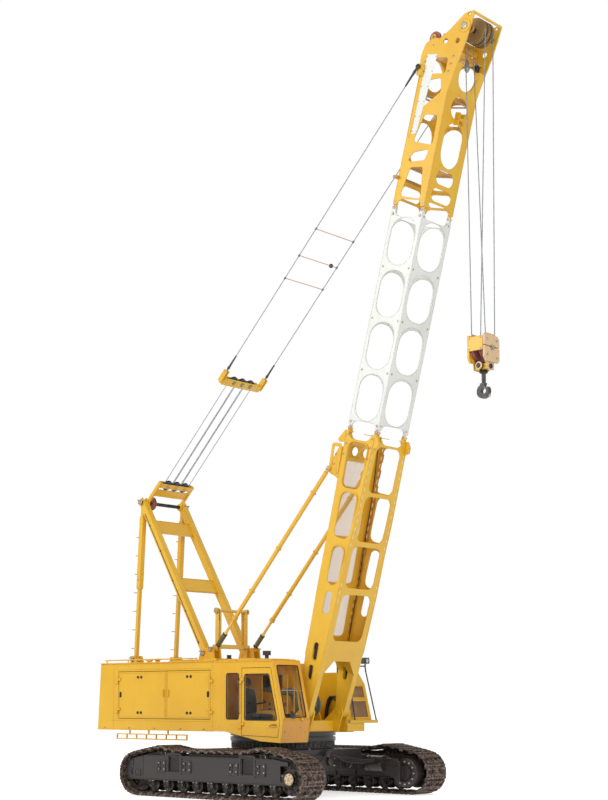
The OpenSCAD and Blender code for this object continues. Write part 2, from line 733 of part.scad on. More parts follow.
module cab_shell() color(yellow) difference() {
    from_y(-cab_outer_y, -cab_inner_y) polygon(cab_profile);
    difference() {
        from_y(-cab_outer_y + cab_t, -cab_inner_y - cab_t) polygon(cab_room);
        translate([0, 0, 900]) cylinder(r = ring_r + 100, h = seat_floor_z - 900);
    }
    translate([0, 0, 900]) cylinder(r = ring_r + 60, h = floor_z - 900);
    from_y(-cab_outer_y - 5, -cab_outer_y + cab_t + 5) {
        polygon(cab_door_outline);
        soft_poly(rear_window, 40);
    }
    from_y(-cab_inner_y + 5, -cab_inner_y - cab_t - 5) soft_poly([
        [100, 1700], [1150, 1700], [1000, 2480], [100, 2480]], 40);
    windshield_hole();
}

module cab_hinges() color(yellow) for (z = cab_knuckles) fixed_knuckle(right, cab_door_rear_x, 1, z);

// Places its children on the slope of the windshield, with X up the slope
module on_windshield() translate([cab_sill_x, 0, cab_sill_z])
    rotate([0, -atan2(roof_z - cab_sill_z, cab_roof_x - cab_sill_x), 0]) children();
windshield_l = 1060;
windshield_y = -(cab_inner_y + cab_outer_y) / 2;
module windshield_hole() on_windshield() translate([70, windshield_y, 0])
    translate([windshield_l / 2, 0, -60]) linear_extrude(height = 120)
        round_rect(windshield_l, cab_outer_y - cab_inner_y - 190, 40);

module cab_glass() color([0.25, 0.3, 0.32, 0.4]) {
    on_windshield() translate([70 + windshield_l / 2, windshield_y, 12])
        linear_extrude(height = 8)
            round_rect(windshield_l - 1, cab_outer_y - cab_inner_y - 191, 40);
    from_y(-cab_outer_y + 12, -cab_outer_y + 20) soft_poly([
        [-155.5, 1585.5], [187.5, 1585.5], [187.5, 2509.5], [-155.5, 2509.5]], 40);
}

module cab_door() color(yellow) {
    difference() {
        from_y(-cab_outer_y, -cab_outer_y + cab_t) offset(delta = -8) polygon(cab_door_outline);
        from_y(-cab_outer_y - 5, -cab_outer_y + cab_t + 5) soft_poly(door_window, 40);
    }
    for (z = cab_knuckles) leaf_knuckle(right, cab_door_rear_x, 1, z + leaf_lift);
    box([1100, -cab_outer_y - 34, 1440], [1240, -cab_outer_y, 1466]);
}

module cab_door_glass() color([0.25, 0.3, 0.32, 0.4])
    from_y(-cab_outer_y + 12, -cab_outer_y + 20) offset(delta = -0.4) soft_poly(door_window, 40);

console_y = (cab_outer_y - cab_inner_y) / 2 - 107.5;
seat_half = console_y - 60;
module cab_seat() color(black) translate([350, windshield_y, 0]) {
    box([-60, -80, seat_floor_z + seat_gap], [60, 80, 1580]);
    box([-230, -seat_half, 1580], [260, seat_half, 1700]);
    translate([-190, 0, 1680]) rotate([0, -8, 0]) {
        box([-110, 10 - seat_half, 0], [0, seat_half - 10, 560]);
        box([-90, -130, 550], [-15, 130, 760]);
    }
}

module cab_controls() color(orange) translate([0, windshield_y, 0]) {
    box([1100, -console_y, foot_floor_z], [1230, console_y, 1600]);
    box([150, console_y - 38, seat_floor_z], [700, console_y + 42, 1760]);
    for (x = [560, 640]) translate([x, console_y, 1750]) {
        cylinder(r = 14, h = 180);
        translate([0, 0, 175]) cylinder(r = 26, h = 50);
    }
}

// Gantry

leg_foot = [leg_foot_x, leg_foot_z];
gantry_top = [gantry_top_x, gantry_top_z];
strut_foot = [strut_foot_x, strut_foot_z];
leg_len = span(leg_foot, gantry_top);
strut_len = span(strut_foot, gantry_top);

module gantry_legs() color(yellow) {
    for (side = [right, left]) {
        difference() {
            translate([0, side * gantry_y, 0]) towards(leg_foot, gantry_top)
                box([-90, -leg_size / 2, -leg_size / 2], [leg_len + 90, leg_size / 2, leg_size / 2]);
            bar_y(leg_foot_x, leg_foot_z, -2000, 2000, leg_pin_r - 0.001);
            bar_y(gantry_top_x, gantry_top_z, -2000, 2000, top_pin_r + pin_play);
            strut_notch(side);
        }
        bar_y(leg_foot_x, leg_foot_z, side * (gantry_y - leg_gap - bracket_t - 10),
            side * (gantry_y + leg_gap + bracket_t + 10), leg_pin_r);
    }
    towards(leg_foot, gantry_top) {
        cross_plate(0.445);
        cross_plate(0.835);
    }
}

module cross_plate(share) translate([leg_len * share, 0, 0])
    box([-170, -gantry_y + leg_size / 2, -12], [170, gantry_y - leg_size / 2, 12]);

// Room in a leg's top for the end of the strut
module strut_notch(side) translate([0, side * gantry_y, 0])
    box([gantry_top_x - 130, -leg_size / 4 - 4, gantry_top_z - 260],
        [gantry_top_x + 130, leg_size / 4 + 4, gantry_top_z + 200]);

top_pin_r = 40;
strut_step = 0.46;
module gantry_struts() color(yellow) for (side = [right, left])
    difference() {
        translate([0, side * gantry_y, 0]) towards(strut_foot, gantry_top) {
            box([0, -38, -38], [strut_len * strut_step + 20, 38, 38]);
            box([strut_len * strut_step, -55, -55], [strut_len - 320, 55, 55]);
            box([strut_len - 330, -34, -45], [strut_len + 60, 34, 45]);
            translate([0, 0, 0]) rotate([-90, 0, 0]) cylinder(r = 60, h = 76, center = true);
        }
        bar_y(strut_foot_x, strut_foot_z, -2000, 2000, leg_pin_r - 0.001);
        bar_y(gantry_top_x, gantry_top_z, -2000, 2000, top_pin_r + pin_play);
    }

// Shaft through the gantry's top, with the links and frame of the fixed rope block
block_half = 480;
module on_ropes() translate([gantry_top_x, 0, gantry_top_z]) rotate([0, -rope_dir, 0]) children();

module gantry_shaft() color(black)
    bar_y(gantry_top_x, gantry_top_z, -gantry_y - 110, gantry_y + 110, top_pin_r);

// Sheaves on the gantry's top shaft
module gantry_sheaves() color("#8C4A45")
    sheave(gantry_top_x, gantry_top_z, -gantry_y + 230, 130, 46, top_pin_r + pin_play);

// A rope sheave round an axle along Y
module sheave(x, z, y, r, w, bore) translate([x, y, z]) rotate([90, 0, 0]) rotate_extrude()
    polygon([[bore, -w / 2], [r + 28, -w / 2], [r + 28, -w / 2 + 6], [r, -12],
        [r, 12], [r + 28, w / 2 - 6], [r + 28, w / 2], [bore, w / 2]]);

// Portal with a roller that guides the hoist ropes over the roof
guide_x = -1530;
guide_top_z = 3905;
module rope_guide() color(yellow) {
    for (side = [right, left]) from_y(side * 455, side * 480) difference() {
        polygon([[guide_x - 300, roof_z], [guide_x + 240, roof_z], [guide_x + 60, guide_top_z + 50],
            [guide_x - 60, guide_top_z + 50]]);
        polygon([[guide_x - 190, roof_z + 180], [guide_x + 140, roof_z + 180],
            [guide_x + 10, guide_top_z - 300], [guide_x - 10, guide_top_z - 300]]);
    }
    bar_y(guide_x, guide_top_z, -455, 455, 38);
    for (side = [right, left]) bar_y(guide_x, guide_top_z, side * 480, side * 520, 60);
    bar_y(guide_x - 150, roof_z + 90, -455, 455, 38);
}

// Two rope drums between side plates, in the bay behind the boom's feet
module winches() {
    color(steel) for (w = [[-150, 1950, 190], [480, 1880, 160]]) {
        bar_y(w[0], w[1], -360, 360, w[2]);
        for (side = [right, left]) bar_y(w[0], w[1], side * 360, side * 382, w[2] + 90);
        bar_y(w[0], w[1], -430, 430, 45);
    }
    color(yellow) for (side = [right, left]) from_y(side * 386, side * 420)
        polygon([[-420, deck_z], [720, deck_z], [560, 2050], [-250, 2150]]);
}

// Handrail and lamp in front of the left housing
rail_top_z = left_roof_z + 145;
rail_y = house_half_w - 80;
hand_r = 14;
module handrail() {
    color(black) {
        bent_rail(left_inner_y + 120, 0);
        bent_rail(rail_y, 140);
    }
    color(steel) translate([1040, rail_y, rail_top_z + 50]) {
        box([-60, -70, 0], [60, 70, 130]);
        cylinder(r = 16, h = 200, center = true, $fn = 16);
    }
}

// A rail from the deck up and back over the roof, with its foot further out by a given distance
module bent_rail(y, spread) {
    rod_3d([1225, y + spread, deck_z + 3.3], [1040, y + spread / 10, rail_top_z - 100], hand_r);
    rod_3d([1040, y + spread / 10, rail_top_z - 100], [1040, y, rail_top_z], hand_r);
    rod_3d([740, y, rail_top_z], [1040, y, rail_top_z], hand_r);
    rod_3d([740, y, left_roof_z], [740, y, rail_top_z], hand_r);
    for (e = [[1225, y + spread, deck_z + 20], [1040, y + spread / 10, rail_top_z - 100],
        [1040, y, rail_top_z], [740, y, rail_top_z]]) translate(e) sphere(r = hand_r + 5, $fn = 16);
}

// A round rod between two points
module rod_3d(a, b, r) translate(a)
    rotate([0, acos((b - a)[2] / norm(b - a)), atan2((b - a)[1], (b - a)[0])])
        cylinder(r = r, h = norm(b - a), $fn = 16);

// Boom, drawn lying along +X from its foot pins, with +Z its rear face

module on_boom() translate([foot_x, 0, foot_z]) rotate([0, -boom_angle, 0]) children();
stop_top = boom_point(stop_s, stop_v);
boom_mid = (boom_rear - boom_front) / 2;
insert_s = base_len + insert_len;
head_s = insert_s + head_len;
joint_gap = 60;

module through_sides() rotate([90, 0, 0]) linear_extrude(height = 3000, center = true) children();
module through_right() rotate([90, 0, 0]) linear_extrude(height = 1500) children();
module through_left() translate([0, 1500, 0]) rotate([90, 0, 0]) linear_extrude(height = 1500) children();
module through_faces() linear_extrude(height = 3000, center = true) children();

fork_s = 1120;
fork_shoulder = 850;
web_end = 1300;

// Openings of the base section's sides and of its faces: middle, height of the middle, length, width
base_side_openings = [[5110, 60, 940, 500], [4090, 10, 930, 420], [3060, -16, 790, 300], [2290, -12, 470, 180]];
base_face_openings = [[5110, 0, 940, 770], [4090, 0, 930, 830], [3090, 0, 860, 890], [2035, 0, 970, 920]];
hand_holes = [[1270, 35, 360, 120], [830, 60, 290, 120]];
base_corner_r = 150;

// Where the base section's rear edge bends, and its slope from there
rear_bend_s = 1150;
rear_bend_v = 285;
rear_slope = atan((base_rear - rear_bend_v) / (base_len - joint_gap - rear_bend_s));
function base_rear_at(s) = rear_bend_v + (s - rear_bend_s) * tan(rear_slope);

module base_side(inset) polygon([
    [0, -115 + inset], [700, -165 + inset], [1300, -195 + inset], [2500, -235 + inset],
    [3400, -245 + inset], [4000, -275 + inset], [base_len - joint_gap, -boom_front + inset],
    [base_len - joint_gap, base_rear - inset], [rear_bend_s, rear_bend_v - inset],
    [700, 255 - inset], [0, 120 - inset]]);
module base_plan(inset) polygon([
    [0, leg_outer_y - inset], [2600, leg_outer_y - inset], [base_len - joint_gap, base_half_w - inset],
    [base_len - joint_gap, -base_half_w + inset], [2600, -leg_outer_y + inset], [0, -leg_outer_y + inset]]);
module base_form(inset) intersection() {
    through_sides() base_side(inset);
    through_faces() base_plan(inset);
}

module boom_base() color(yellow) on_boom() {
    difference() {
        union() {
            base_form(0);
            bar_y(0, 0, -leg_outer_y, leg_outer_y, foot_boss_r);
        }
        intersection() {
            base_form(plate_t);
            box([web_end, -1000, -1000], [base_len - joint_gap - 30, 1000, 1000]);
        }
        for (y = [-1, 1]) translate([base_len - 300, y * 230, boom_mid])
            rotate([0, 90, 0]) cylinder(r = 95, h = 600);
        through_faces() polygon([[-300, -leg_inner_y], [fork_shoulder, -leg_inner_y], [fork_s, -250],
            [fork_s, 250], [fork_shoulder, leg_inner_y], [-300, leg_inner_y]]);
        bar_y(0, 0, -1000, 1000, foot_pin_r + pin_play);
        end_scallop(base_len - joint_gap, 160);
        through_sides() {
            for (o = base_side_openings) translate([o[0], o[1]])
                round_rect(o[2], o[3], min(base_corner_r, o[3] / 2 - 1));
            for (o = hand_holes) translate([o[0], o[1]]) rotate(3) round_rect(o[2], o[3], o[3] / 2 - 1);
        }
        through_faces() for (o = base_face_openings)
            translate([o[0], o[1]]) round_rect(o[2], o[3], base_corner_r);
    }
    corner_heads();
    joint_forks(base_len);
    for (side = [right, left]) stop_bracket(side);
}

// The arched cut at the open end of a section, in all four faces
// Heads at the base section's upper corners, in front and behind
module corner_heads() for (y = [-1, 1]) from_y(y * (base_half_w - 60), y * base_half_w)
    translate([base_len - joint_gap, 0]) {
        polygon([[0, -boom_front + 20], [0, -boom_front - 30], [-110, -boom_front - 110],
            [-230, -boom_front - 110], [-300, -boom_front + 20]]);
        polygon([[0, base_rear - 20], [0, base_rear + 40], [-215, base_rear + 190],
            [-265, base_rear + 140], [-235, base_rear - 20]]);
    }

module end_scallop(s, deep) {
    through_sides() translate([s, boom_mid]) scallop(boom_rear + boom_front - 190, deep);
    through_faces() translate([s, 0]) scallop(2 * boom_half_w - 190, deep);
}

module scallop(w, deep) round_rect(2 * deep, w, deep - 1);

// Corner lugs that join two sections: forks on the lower one, tongues on the upper one
joint_pin_r = 22;
lug_h = 84;
module corners() for (y = [-1, 1], v = [-boom_front + lug_h / 2, boom_rear - lug_h / 2])
    translate([0, y * (boom_half_w - 40), v]) children();

module joint_forks(s) corners() {
    for (y = [-30, 12]) from_y(y, y + 18) difference() {
        union() {
            translate([s - joint_gap - 60, -lug_h / 2]) square([joint_gap + 60, lug_h]);
            translate([s, 0]) circle(lug_h / 2);
        }
        translate([s, 0]) circle(joint_pin_r - 0.001);
    }
    bar_y(s, 0, -38, 38, joint_pin_r);
}

module joint_tongues(s) corners() from_y(-11, 11) difference() {
    union() {
        translate([s, -lug_h / 2]) square([joint_gap + 60, lug_h]);
        translate([s, 0]) circle(lug_h / 2);
    }
    translate([s, 0]) circle(joint_pin_r + pin_play);
}

// Middle section: four panels of wide openings on each face
panel_count = 4;
panel_pitch = (insert_len - 2 * joint_gap - 150) / panel_count;
panel_band = 115;
function panel_s(i) = base_len + insert_len / 2 + (i - (panel_count - 1) / 2) * panel_pitch;

module boom_insert() color(white) on_boom() {
    difference() {
        box([base_len + joint_gap, -boom_half_w, -boom_front], [insert_s - joint_gap, boom_half_w, boom_rear]);
        box([base_len, -boom_half_w + plate_t, -boom_front + plate_t],
            [insert_s, boom_half_w - plate_t, boom_rear - plate_t]);
        for (i = [0:panel_count - 1]) {
            through_sides() translate([panel_s(i), boom_mid])
                round_rect(panel_pitch - panel_band, boom_rear + boom_front - 170, 290);
            through_faces() translate([panel_s(i), 0])
                round_rect(panel_pitch - panel_band, 2 * boom_half_w - 170, 330);
        }
        end_scallop(base_len + joint_gap, 110);
        end_scallop(insert_s - joint_gap, 110);
    }
    joint_tongues(base_len);
    joint_forks(insert_s);
}

// Head section, with two nose plates that carry the sheaves
shelf_s = head_s - 500;
tip_s = head_s + 300;
head_outline = [
    [insert_s + joint_gap, -boom_front], [shelf_s - 750, -boom_front], [shelf_s - 410, -boom_front - 65],
    [shelf_s + 200, -head_drop - 100], [tip_s - 40, -head_drop - 170], [tip_s, -head_drop - 120],
    [tip_s - 60, -head_drop + 70], [shelf_s + 440, -50], [shelf_s + 350, 60], [shelf_s + 260, 180],
    [shelf_s + 290, 300], [shelf_s + 170, 500], [shelf_s, boom_rear + 45],
    [shelf_s - 140, boom_rear + 60], [shelf_s - 420, boom_rear], [insert_s + joint_gap, boom_rear]];
// Openings on the right plate, from the joint: outline points and corner radius
head_side_openings = [
    [[[200, -160], [240, 380], [820, 260], [840, -60]], 60],
    [[[920, 380], [1120, 260], [1200, -140], [970, -60]], 50],
    [[[1280, -190], [1870, -170], [1890, 160], [1340, 330]], 70],
    [[[1970, 330], [2540, 390], [2620, -60], [2340, -130]], 70],
    [[[2700, -140], [2700, 300], [3020, 300], [3020, -140]], 60]];
// Openings of the faces, from the joint: middle, length, width
head_face_openings = [[360, 260, 640], [720, 280, 560], [1380, 900, 600], [2120, 440, 520],
    [2790, 620, 600]];

module boom_head() color(yellow) on_boom() {
    difference() {
        through_band(2 * boom_half_w) polygon(head_outline);
        difference() {
            box([insert_s, -boom_half_w + plate_t, -boom_front + plate_t],
                [shelf_s - 30, boom_half_w - plate_t, boom_rear - plate_t]);
        }
        box([shelf_s - 200, -boom_half_w + nose_t, -900], [tip_s + 100, boom_half_w - nose_t, -boom_front + plate_t]);
        box([shelf_s, -boom_half_w + nose_t, -900], [tip_s + 100, boom_half_w - nose_t, 900]);
        box([shelf_s - 60, -330, -900], [shelf_s + 60, 330, -120]);
        through_right() for (o = head_side_openings) translate([insert_s, 0]) soft_poly(o[0], o[1]);
        through_sides() for (v = [10, -290]) translate([shelf_s + 210, v]) circle(55);
        through_left() for (o = head_face_openings) translate([insert_s + o[0], boom_mid])
            round_rect(o[1], boom_rear + boom_front - 220, min(o[1], 560) / 2 - 1);
        through_faces() for (o = head_face_openings)
            translate([insert_s + o[0], 0]) round_rect(o[1], o[2], min(o[1], o[2]) / 2 - 1);
        bar_y(head_s, -head_drop, -1000, 1000, head_pin_r + pin_play);
        end_scallop(insert_s + joint_gap, 120);
        bar_y(tip_s - 70, -head_drop - 50, -1000, 1000, jib_pin_r);
    }
    box([shelf_s + 140, -boom_half_w + nose_t - 1, -110], [shelf_s + 240, boom_half_w - nose_t + 1, -60]);
    joint_tongues(insert_s);
    pendant_ears();
    blank_plate();
    bar_y(shelf_s + 330, 0, -boom_half_w + nose_t - 1, boom_half_w - nose_t + 1, 45);
    aux_plates();
    bracket_roller();
}

module through_band(w) rotate([90, 0, 0]) linear_extrude(height = w, center = true) children();

nose_t = 28;
head_pin_r = 50;
jib_pin_r = 30;
ear_t = 45;
module pendant_ears() for (side = [right, left])
    from_y(side * boom_half_w, side * (pendant_y - pendant_eye_t / 2 - side_gap)) union() {
        translate([ear_s, ear_v]) circle(70);
        translate([ear_s - 160, ear_v - 60]) square([160, 90]);
    }

module blank_plate() color("white") translate([0, -boom_half_w - 6, 0])
    from_y(0, 6) translate([insert_s, boom_rear])
        polygon([[1540, -10], [1400, -60], [2740, -190], [3020, -190], [3020, -20]]);

// Wire mesh on the base section's rear face
module boom_mesh() color(steel) on_boom() for (o = base_face_openings)
    mesh_panel(o[0], o[2] + 50, o[3] + 60);
module mesh_panel(s, l, w) translate([s, 0, base_rear_at(s) + 0.5])
    rotate([0, -rear_slope, 0]) difference() {
        box([-l / 2, -w / 2, 0], [l / 2, w / 2, 6]);
        for (i = [1:floor(l / 110) - 1], j = [1:floor(w / 110) - 1])
            translate([-l / 2 + i * l / floor(l / 110), -w / 2 + j * w / floor(w / 110), -1])
                rotate([0, 0, 45]) cube([62, 62, 20], center = true);
    }

// Head sheaves on their axle, and the auxiliary sheave on the rear shelf
module head_sheaves() on_boom() {
    color(sheave_blue) {
        for (y = [-1, 1]) sheave(head_s, -head_drop, y * hoist_sheave_y, sheave_r, 60, head_pin_r + pin_play);
        sheave(head_s, -head_drop, 0, sheave_r, 60, head_pin_r + pin_play);
    }
    color(steel) bar_y(head_s, -head_drop, -boom_half_w - 14, boom_half_w + 14, head_pin_r);
}

// Auxiliary sheave on the head's rear shelf, and the plates that hold it
aux_s = shelf_s + 300;
aux_v = 360;
aux_y = -380;
module aux_plates() for (y = [-60, 60]) from_y(aux_y + y - 10, aux_y + y + 10) difference() {
    union() {
        translate([shelf_s - 30, aux_v - 60]) square([aux_s - shelf_s + 30, 120]);
        translate([aux_s, aux_v]) circle(60);
    }
    translate([aux_s, aux_v]) circle(30 + pin_play);
}

module aux_sheave() on_boom() color("#8C4A45") {
    sheave(aux_s, aux_v, aux_y, 102, 50, 25);
    bar_y(aux_s, aux_v, aux_y - 65, aux_y + 80, 30);
}

module bracket_roller() translate([insert_s + 1915, 0, -boom_front]) {
    for (y = [-75, 75]) box([-125, y - 15, -120], [125, y + 15, 0]);
    bar_y(0, -80, -60, 60, 34);
}

module stop_bracket(side) from_y(side * (base_half_w - 25), side * (stop_y - stop_eye_t / 2 - side_gap)) {
    polygon([[stop_s - 160, 430], [stop_s + 500, 470], [stop_s + 460, boom_rear + 60],
        [stop_s + 60, stop_v + 30], [stop_s - 60, stop_v - 20]]);
    translate([stop_s, stop_v]) circle(60);
}

// Boom stops

stop_foot = [stop_foot_x, stop_foot_z];
stop_len = span(stop_foot, stop_top);
stop_eye_t = 30;
stop_rod_r = stop_tube_r - 14;
rod_free = 840;
module on_stop(side) translate([0, side * stop_y, 0]) towards(stop_foot, stop_top) children();

module stop_rods() for (side = [right, left]) on_stop(side) {
    color(yellow) {
        difference() {
            bar_y(0, 0, -15, 15, 60);
            bar_y(0, 0, -20, 20, stop_pin_r + pin_play);
        }
        box([50, -15, -25], [170, 15, 25]);
        rotate([0, 90, 0]) translate([0, 0, 540]) cylinder(r = stop_rod_r, h = stop_len - 840 - 200);
    }
    color("#5F6047") rotate([0, 90, 0]) translate([0, 0, 170]) for (i = [0:6])
        translate([0, 0, i * 53]) cylinder(r = i % 2 == 0 ? 75 : 62, h = 53);
}

module stop_pins() for (side = [right, left])
    bar_y(stop_foot_x, stop_foot_z, side * (gantry_y - leg_gap - bracket_t - 10),
        side * (gantry_y + leg_gap + bracket_t + 10), stop_pin_r);

module stop_tubes() color(yellow) for (side = [right, left]) on_stop(side) {
    difference() {
        union() {
            rotate([0, 90, 0]) translate([0, 0, rod_free]) cylinder(r = stop_tube_r, h = stop_len - 90 - rod_free);
            rotate([0, 90, 0]) translate([0, 0, rod_free]) cylinder(r = stop_tube_r + 14, h = 60);
        }
        rotate([0, 90, 0]) translate([0, 0, rod_free - 1])
            cylinder(r = stop_rod_r + seat_gap, h = stop_len - 280 - rod_free);
    }
    difference() {
        union() {
            bar_y(stop_len, 0, -stop_eye_t / 2, stop_eye_t / 2, 55);
            box([stop_len - 95, -stop_eye_t / 2, -30], [stop_len - 20, stop_eye_t / 2, 30]);
        }
        bar_y(stop_len, 0, -40, 40, 25);
    }
}

// Luffing ropes: three stages that slide in each other between the two blocks

fixed_block_s = 560;
sheave_gap = 260;
groove_r = 98;
stage_wall = 2;
stage_play = 0.4;
stage_1_r = luff_rope_r + 2 * (stage_wall + stage_play);
stage_2_r = luff_rope_r + stage_wall + stage_play;
rope_places = [for (i = [-1, 0, 1], k = [-1, 1]) i * sheave_gap + k * (groove_r + stage_1_r + seat_gap)];
stage_start = fixed_block_s;
outer_end = luff_rope_len - 330;
middle_start = stage_start + 155;
middle_end = luff_rope_len - 182;
rod_start = stage_start + 302;

// The fixed block hangs on the gantry's shaft by two arms
arm_y = gantry_y - leg_size / 2 - side_gap;
module fixed_block() on_ropes() color(yellow) {
    block_frame(fixed_block_s, 1);
    box([fixed_block_s - 330, -arm_y + arm_t - 1, -8], [fixed_block_s - flange_r - 15, arm_y - arm_t + 1, 8]);
    for (side = [right, left]) from_y(side * (arm_y - arm_t), side * arm_y) difference() {
        union() {
            circle(80);
            translate([0, -40]) square([fixed_block_s + 60, 80]);
        }
        circle(top_pin_r + pin_play);
    }
}

module fixed_sheaves() on_ropes() color(sheave_blue) block_sheaves(fixed_block_s, groove_r);

module luff_ropes() on_ropes() color(rope_grey) for (y = rope_places)
    translate([stage_start, y, 0]) rotate([0, 90, 0]) difference() {
        cylinder(r = stage_1_r, h = outer_end - stage_start, $fn = 16);
        translate([0, 0, -1]) cylinder(r = stage_2_r + stage_play, h = outer_end, $fn = 16);
    }

module luff_ropes_middle() on_ropes() color(rope_grey) for (y = rope_places)
    translate([middle_start, y, 0]) rotate([0, 90, 0]) difference() {
        cylinder(r = stage_2_r, h = middle_end - middle_start, $fn = 16);
        translate([0, 0, -1]) cylinder(r = luff_rope_r + stage_play, h = middle_end, $fn = 16);
    }

// A rope block: a beam across, open boxes for three lying sheaves, and a pin for each
arm_t = 40;
block_h = 56;
flange_r = 124;
module block_frame(s, way) {
    for (z = [-block_h, block_h - 16]) box([s - 60, -block_half, z], [s + 60, block_half, z + 16]);
    for (side = [right, left]) box_between(
        [s - 60, side * block_half, -block_h], [s + 60, side * (arm_y - arm_t), block_h]);
    for (i = [-1, 0, 1]) translate([s, i * sheave_gap, -block_h - 10]) cylinder(r = 22, h = 2 * block_h + 20);
}

module block_sheaves(s, groove) for (i = [-1, 0, 1]) translate([s, i * sheave_gap, 0]) rotate_extrude()
    polygon([[22 + pin_play, -24], [flange_r, -24], [flange_r, -14.5], [groove, -14.5], [groove, 14.5],
        [flange_r, 14.5], [flange_r, 24], [22 + pin_play, 24]]);

// The floating block, with the inner rope stage and the pendants beyond it
module floating_block() on_ropes() {
    color(yellow) block_frame(luff_rope_len, -1);
    color(rope_grey) for (y = rope_places) translate([rod_start, y, 0])
        rotate([0, 90, 0]) cylinder(r = luff_rope_r, h = luff_rope_len - rod_start, $fn = 16);
    for (side = [right, left]) box_between(
        [luff_rope_len - 60, side * (arm_y - arm_t), -40], [luff_rope_len + 60, side * (pendant_y - 30), 40]);
}

module floating_sheaves() on_ropes() color(sheave_blue) block_sheaves(luff_rope_len, groove_r + stage_1_r - luff_rope_r);

pendant_eye_t = 40;
pendant_end = span(gantry_top, ear);
spreader_shares = [0.48, 0.57, 0.66];
module pendants() on_ropes() {
    for (side = [right, left]) translate([0, side * pendant_y, 0]) {
        color(rope_grey) translate([luff_rope_len + 60, 0, 0]) rotate([0, 90, 0])
            cylinder(r = pendant_r, h = pendant_end - luff_rope_len - 120, $fn = 16);
        color(black) {
            for (s = [luff_rope_len + 40, pendant_end - 340]) translate([s, 0, 0])
                rotate([0, 90, 0]) cylinder(r = 26, h = 280);
            bar_y(pendant_end, 0, -pendant_eye_t / 2, pendant_eye_t / 2, 62);
        }
    }
    color(orange) for (k = spreader_shares)
        bar_y(luff_rope_len + (pendant_end - luff_rope_len) * k, 0, -pendant_y + pendant_r, pendant_y - pendant_r, 17);
    color(black) for (side = [right, left]) bar_y(luff_rope_len, 0, side * (pendant_y - 30), side * (pendant_y + 30), 62);
}

// Hoist ropes and hook

head_point = boom_point(head_s, -head_drop);
hook_x = head_point[0];
head_z = head_point[1];
rope_off = sheave_r + hoist_rope_r + seat_gap;
module hoist_ropes() color(rope_grey) for (x = [-1, 1], y = [-1, 1]) rod_3d(
    [hook_x + x * hook_sheave_off, y * rope_off, hook_axle_z],
    [hook_x + x * rope_off, y * hoist_sheave_y, head_z], hoist_rope_r);

// The block hangs a quarter turn from the head sheaves, so it is drawn turned
hook_pin_r = 40;
hook_sheave_off = 100;
cheek_in = hook_sheave_off + 40;
cheek_t = 20;
weight_out = cheek_in + 64;
cheek_outline = [[-210, 180], [-150, 290], [150, 290], [210, 180], [110, -420], [-110, -420]];
weight_outline = [[-250, 250], [190, 250], [250, 190], [250, -210], [200, -280], [-190, -280], [-250, -200]];
module on_hook() translate([hook_x, 0, hook_axle_z]) rotate([0, 0, 90]) children();

module hook_block() on_hook() {
    color(yellow) {
        for (y = [-1, 1]) from_y(y * cheek_in, y * (cheek_in + cheek_t)) difference() {
            polygon(cheek_outline);
            circle(hook_pin_r + pin_play);
        }
        difference() {
            box([-95, -cheek_in - 1, -410], [95, cheek_in + 1, -300]);
            translate([0, 0, -500]) cylinder(r = shank_r + pin_play, h = 300);
        }
        for (y = [-1, 1]) from_y(y * (cheek_in + cheek_t), y * weight_out) difference() {
            polygon(weight_outline);
            translate([-300, 10]) square([600, 20]);
            circle(hook_pin_r + pin_play);
        }
        for (x = [-1, 1]) rope_guard(x);
    }
    color(steel) bar_y(0, 0, -weight_out - 12, weight_out + 12, hook_pin_r);
}

// A plate across the block's end, outside the sheaves, and the flanges that hold it
guard_x = sheave_r + 34;
module rope_guard(way) {
    box_between([way * guard_x, -cheek_in - cheek_t, -70], [way * (guard_x + 12), cheek_in + cheek_t, 200]);
    for (y = [-1, 1]) box_between(
        [way * 150, y * cheek_in, -50], [way * (guard_x + 12), y * (cheek_in + cheek_t), 180]);
}

module hook_sheaves() on_hook() color("#8C4A45") for (y = [-1, 1])
    sheave(0, 0, y * hook_sheave_off, sheave_r, 56, hook_pin_r + pin_play);

// Single hook: shank, head and a bowl cut from a round disc
shank_r = 42;
bowl_r = 62;
module hook() translate([hook_x, 0, hook_axle_z]) color(black) {
    translate([0, 0, -690]) cylinder(r = shank_r, h = 400);
    translate([0, 0, -290]) cylinder(r = 75, h = 26);
    along_y(90) difference() {
        union() {
            translate([0, -830]) circle(140);
            translate([-60, -760]) square([110, 90]);
        }
        translate([18, -820]) circle(bowl_r);
        polygon([[18, -820], [200, -690], [40, -690]]);
    }
}

carbody();
at_side(right) track_frame();  // track_frame_right
at_side(left) track_frame();  // track_frame_left
at_side(right) rollers();  // rollers_right
at_side(left) rollers();  // rollers_left
at_side(right) sprocket(right);  // sprocket_right
at_side(left) sprocket(left);  // sprocket_left
at_side(right) track();  // track_right
at_side(left) track();  // track_left
travel_drives();
ring_gear();
union() {
    turntable();
    stop_pins();
}
counterweight();
engine();
house_shell();
left_housing();
roof_deck();
side_step();
union() {
    cab_shell();
    cab_hinges();
}
cab_glass();
cab_seat();
cab_controls();
gantry_legs();
gantry_struts();
gantry_shaft();
gantry_sheaves();
rope_guide();
winches();
handrail();
cab_door();
cab_door_glass();
door_leaf(right, door_rear_x, door_split_x);  // door_right_rear
door_leaf(right, door_front_x, door_split_x);  // door_right_front
door_leaf(left, door_rear_x, door_split_x);  // door_left_rear
door_leaf(left, door_front_x, door_split_x);  // door_left_front
boom_base();
boom_insert();
boom_head();
boom_mesh();
head_sheaves();
aux_sheave();
stop_rods();
stop_tubes();
fixed_block();
fixed_sheaves();
luff_ropes();
luff_ropes_middle();
floating_block();
floating_sheaves();
pendants();
hoist_ropes();
hook_block();
hook_sheaves();
hook();
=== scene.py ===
import math
import bpy, bmesh
from mathutils import Matrix, Vector


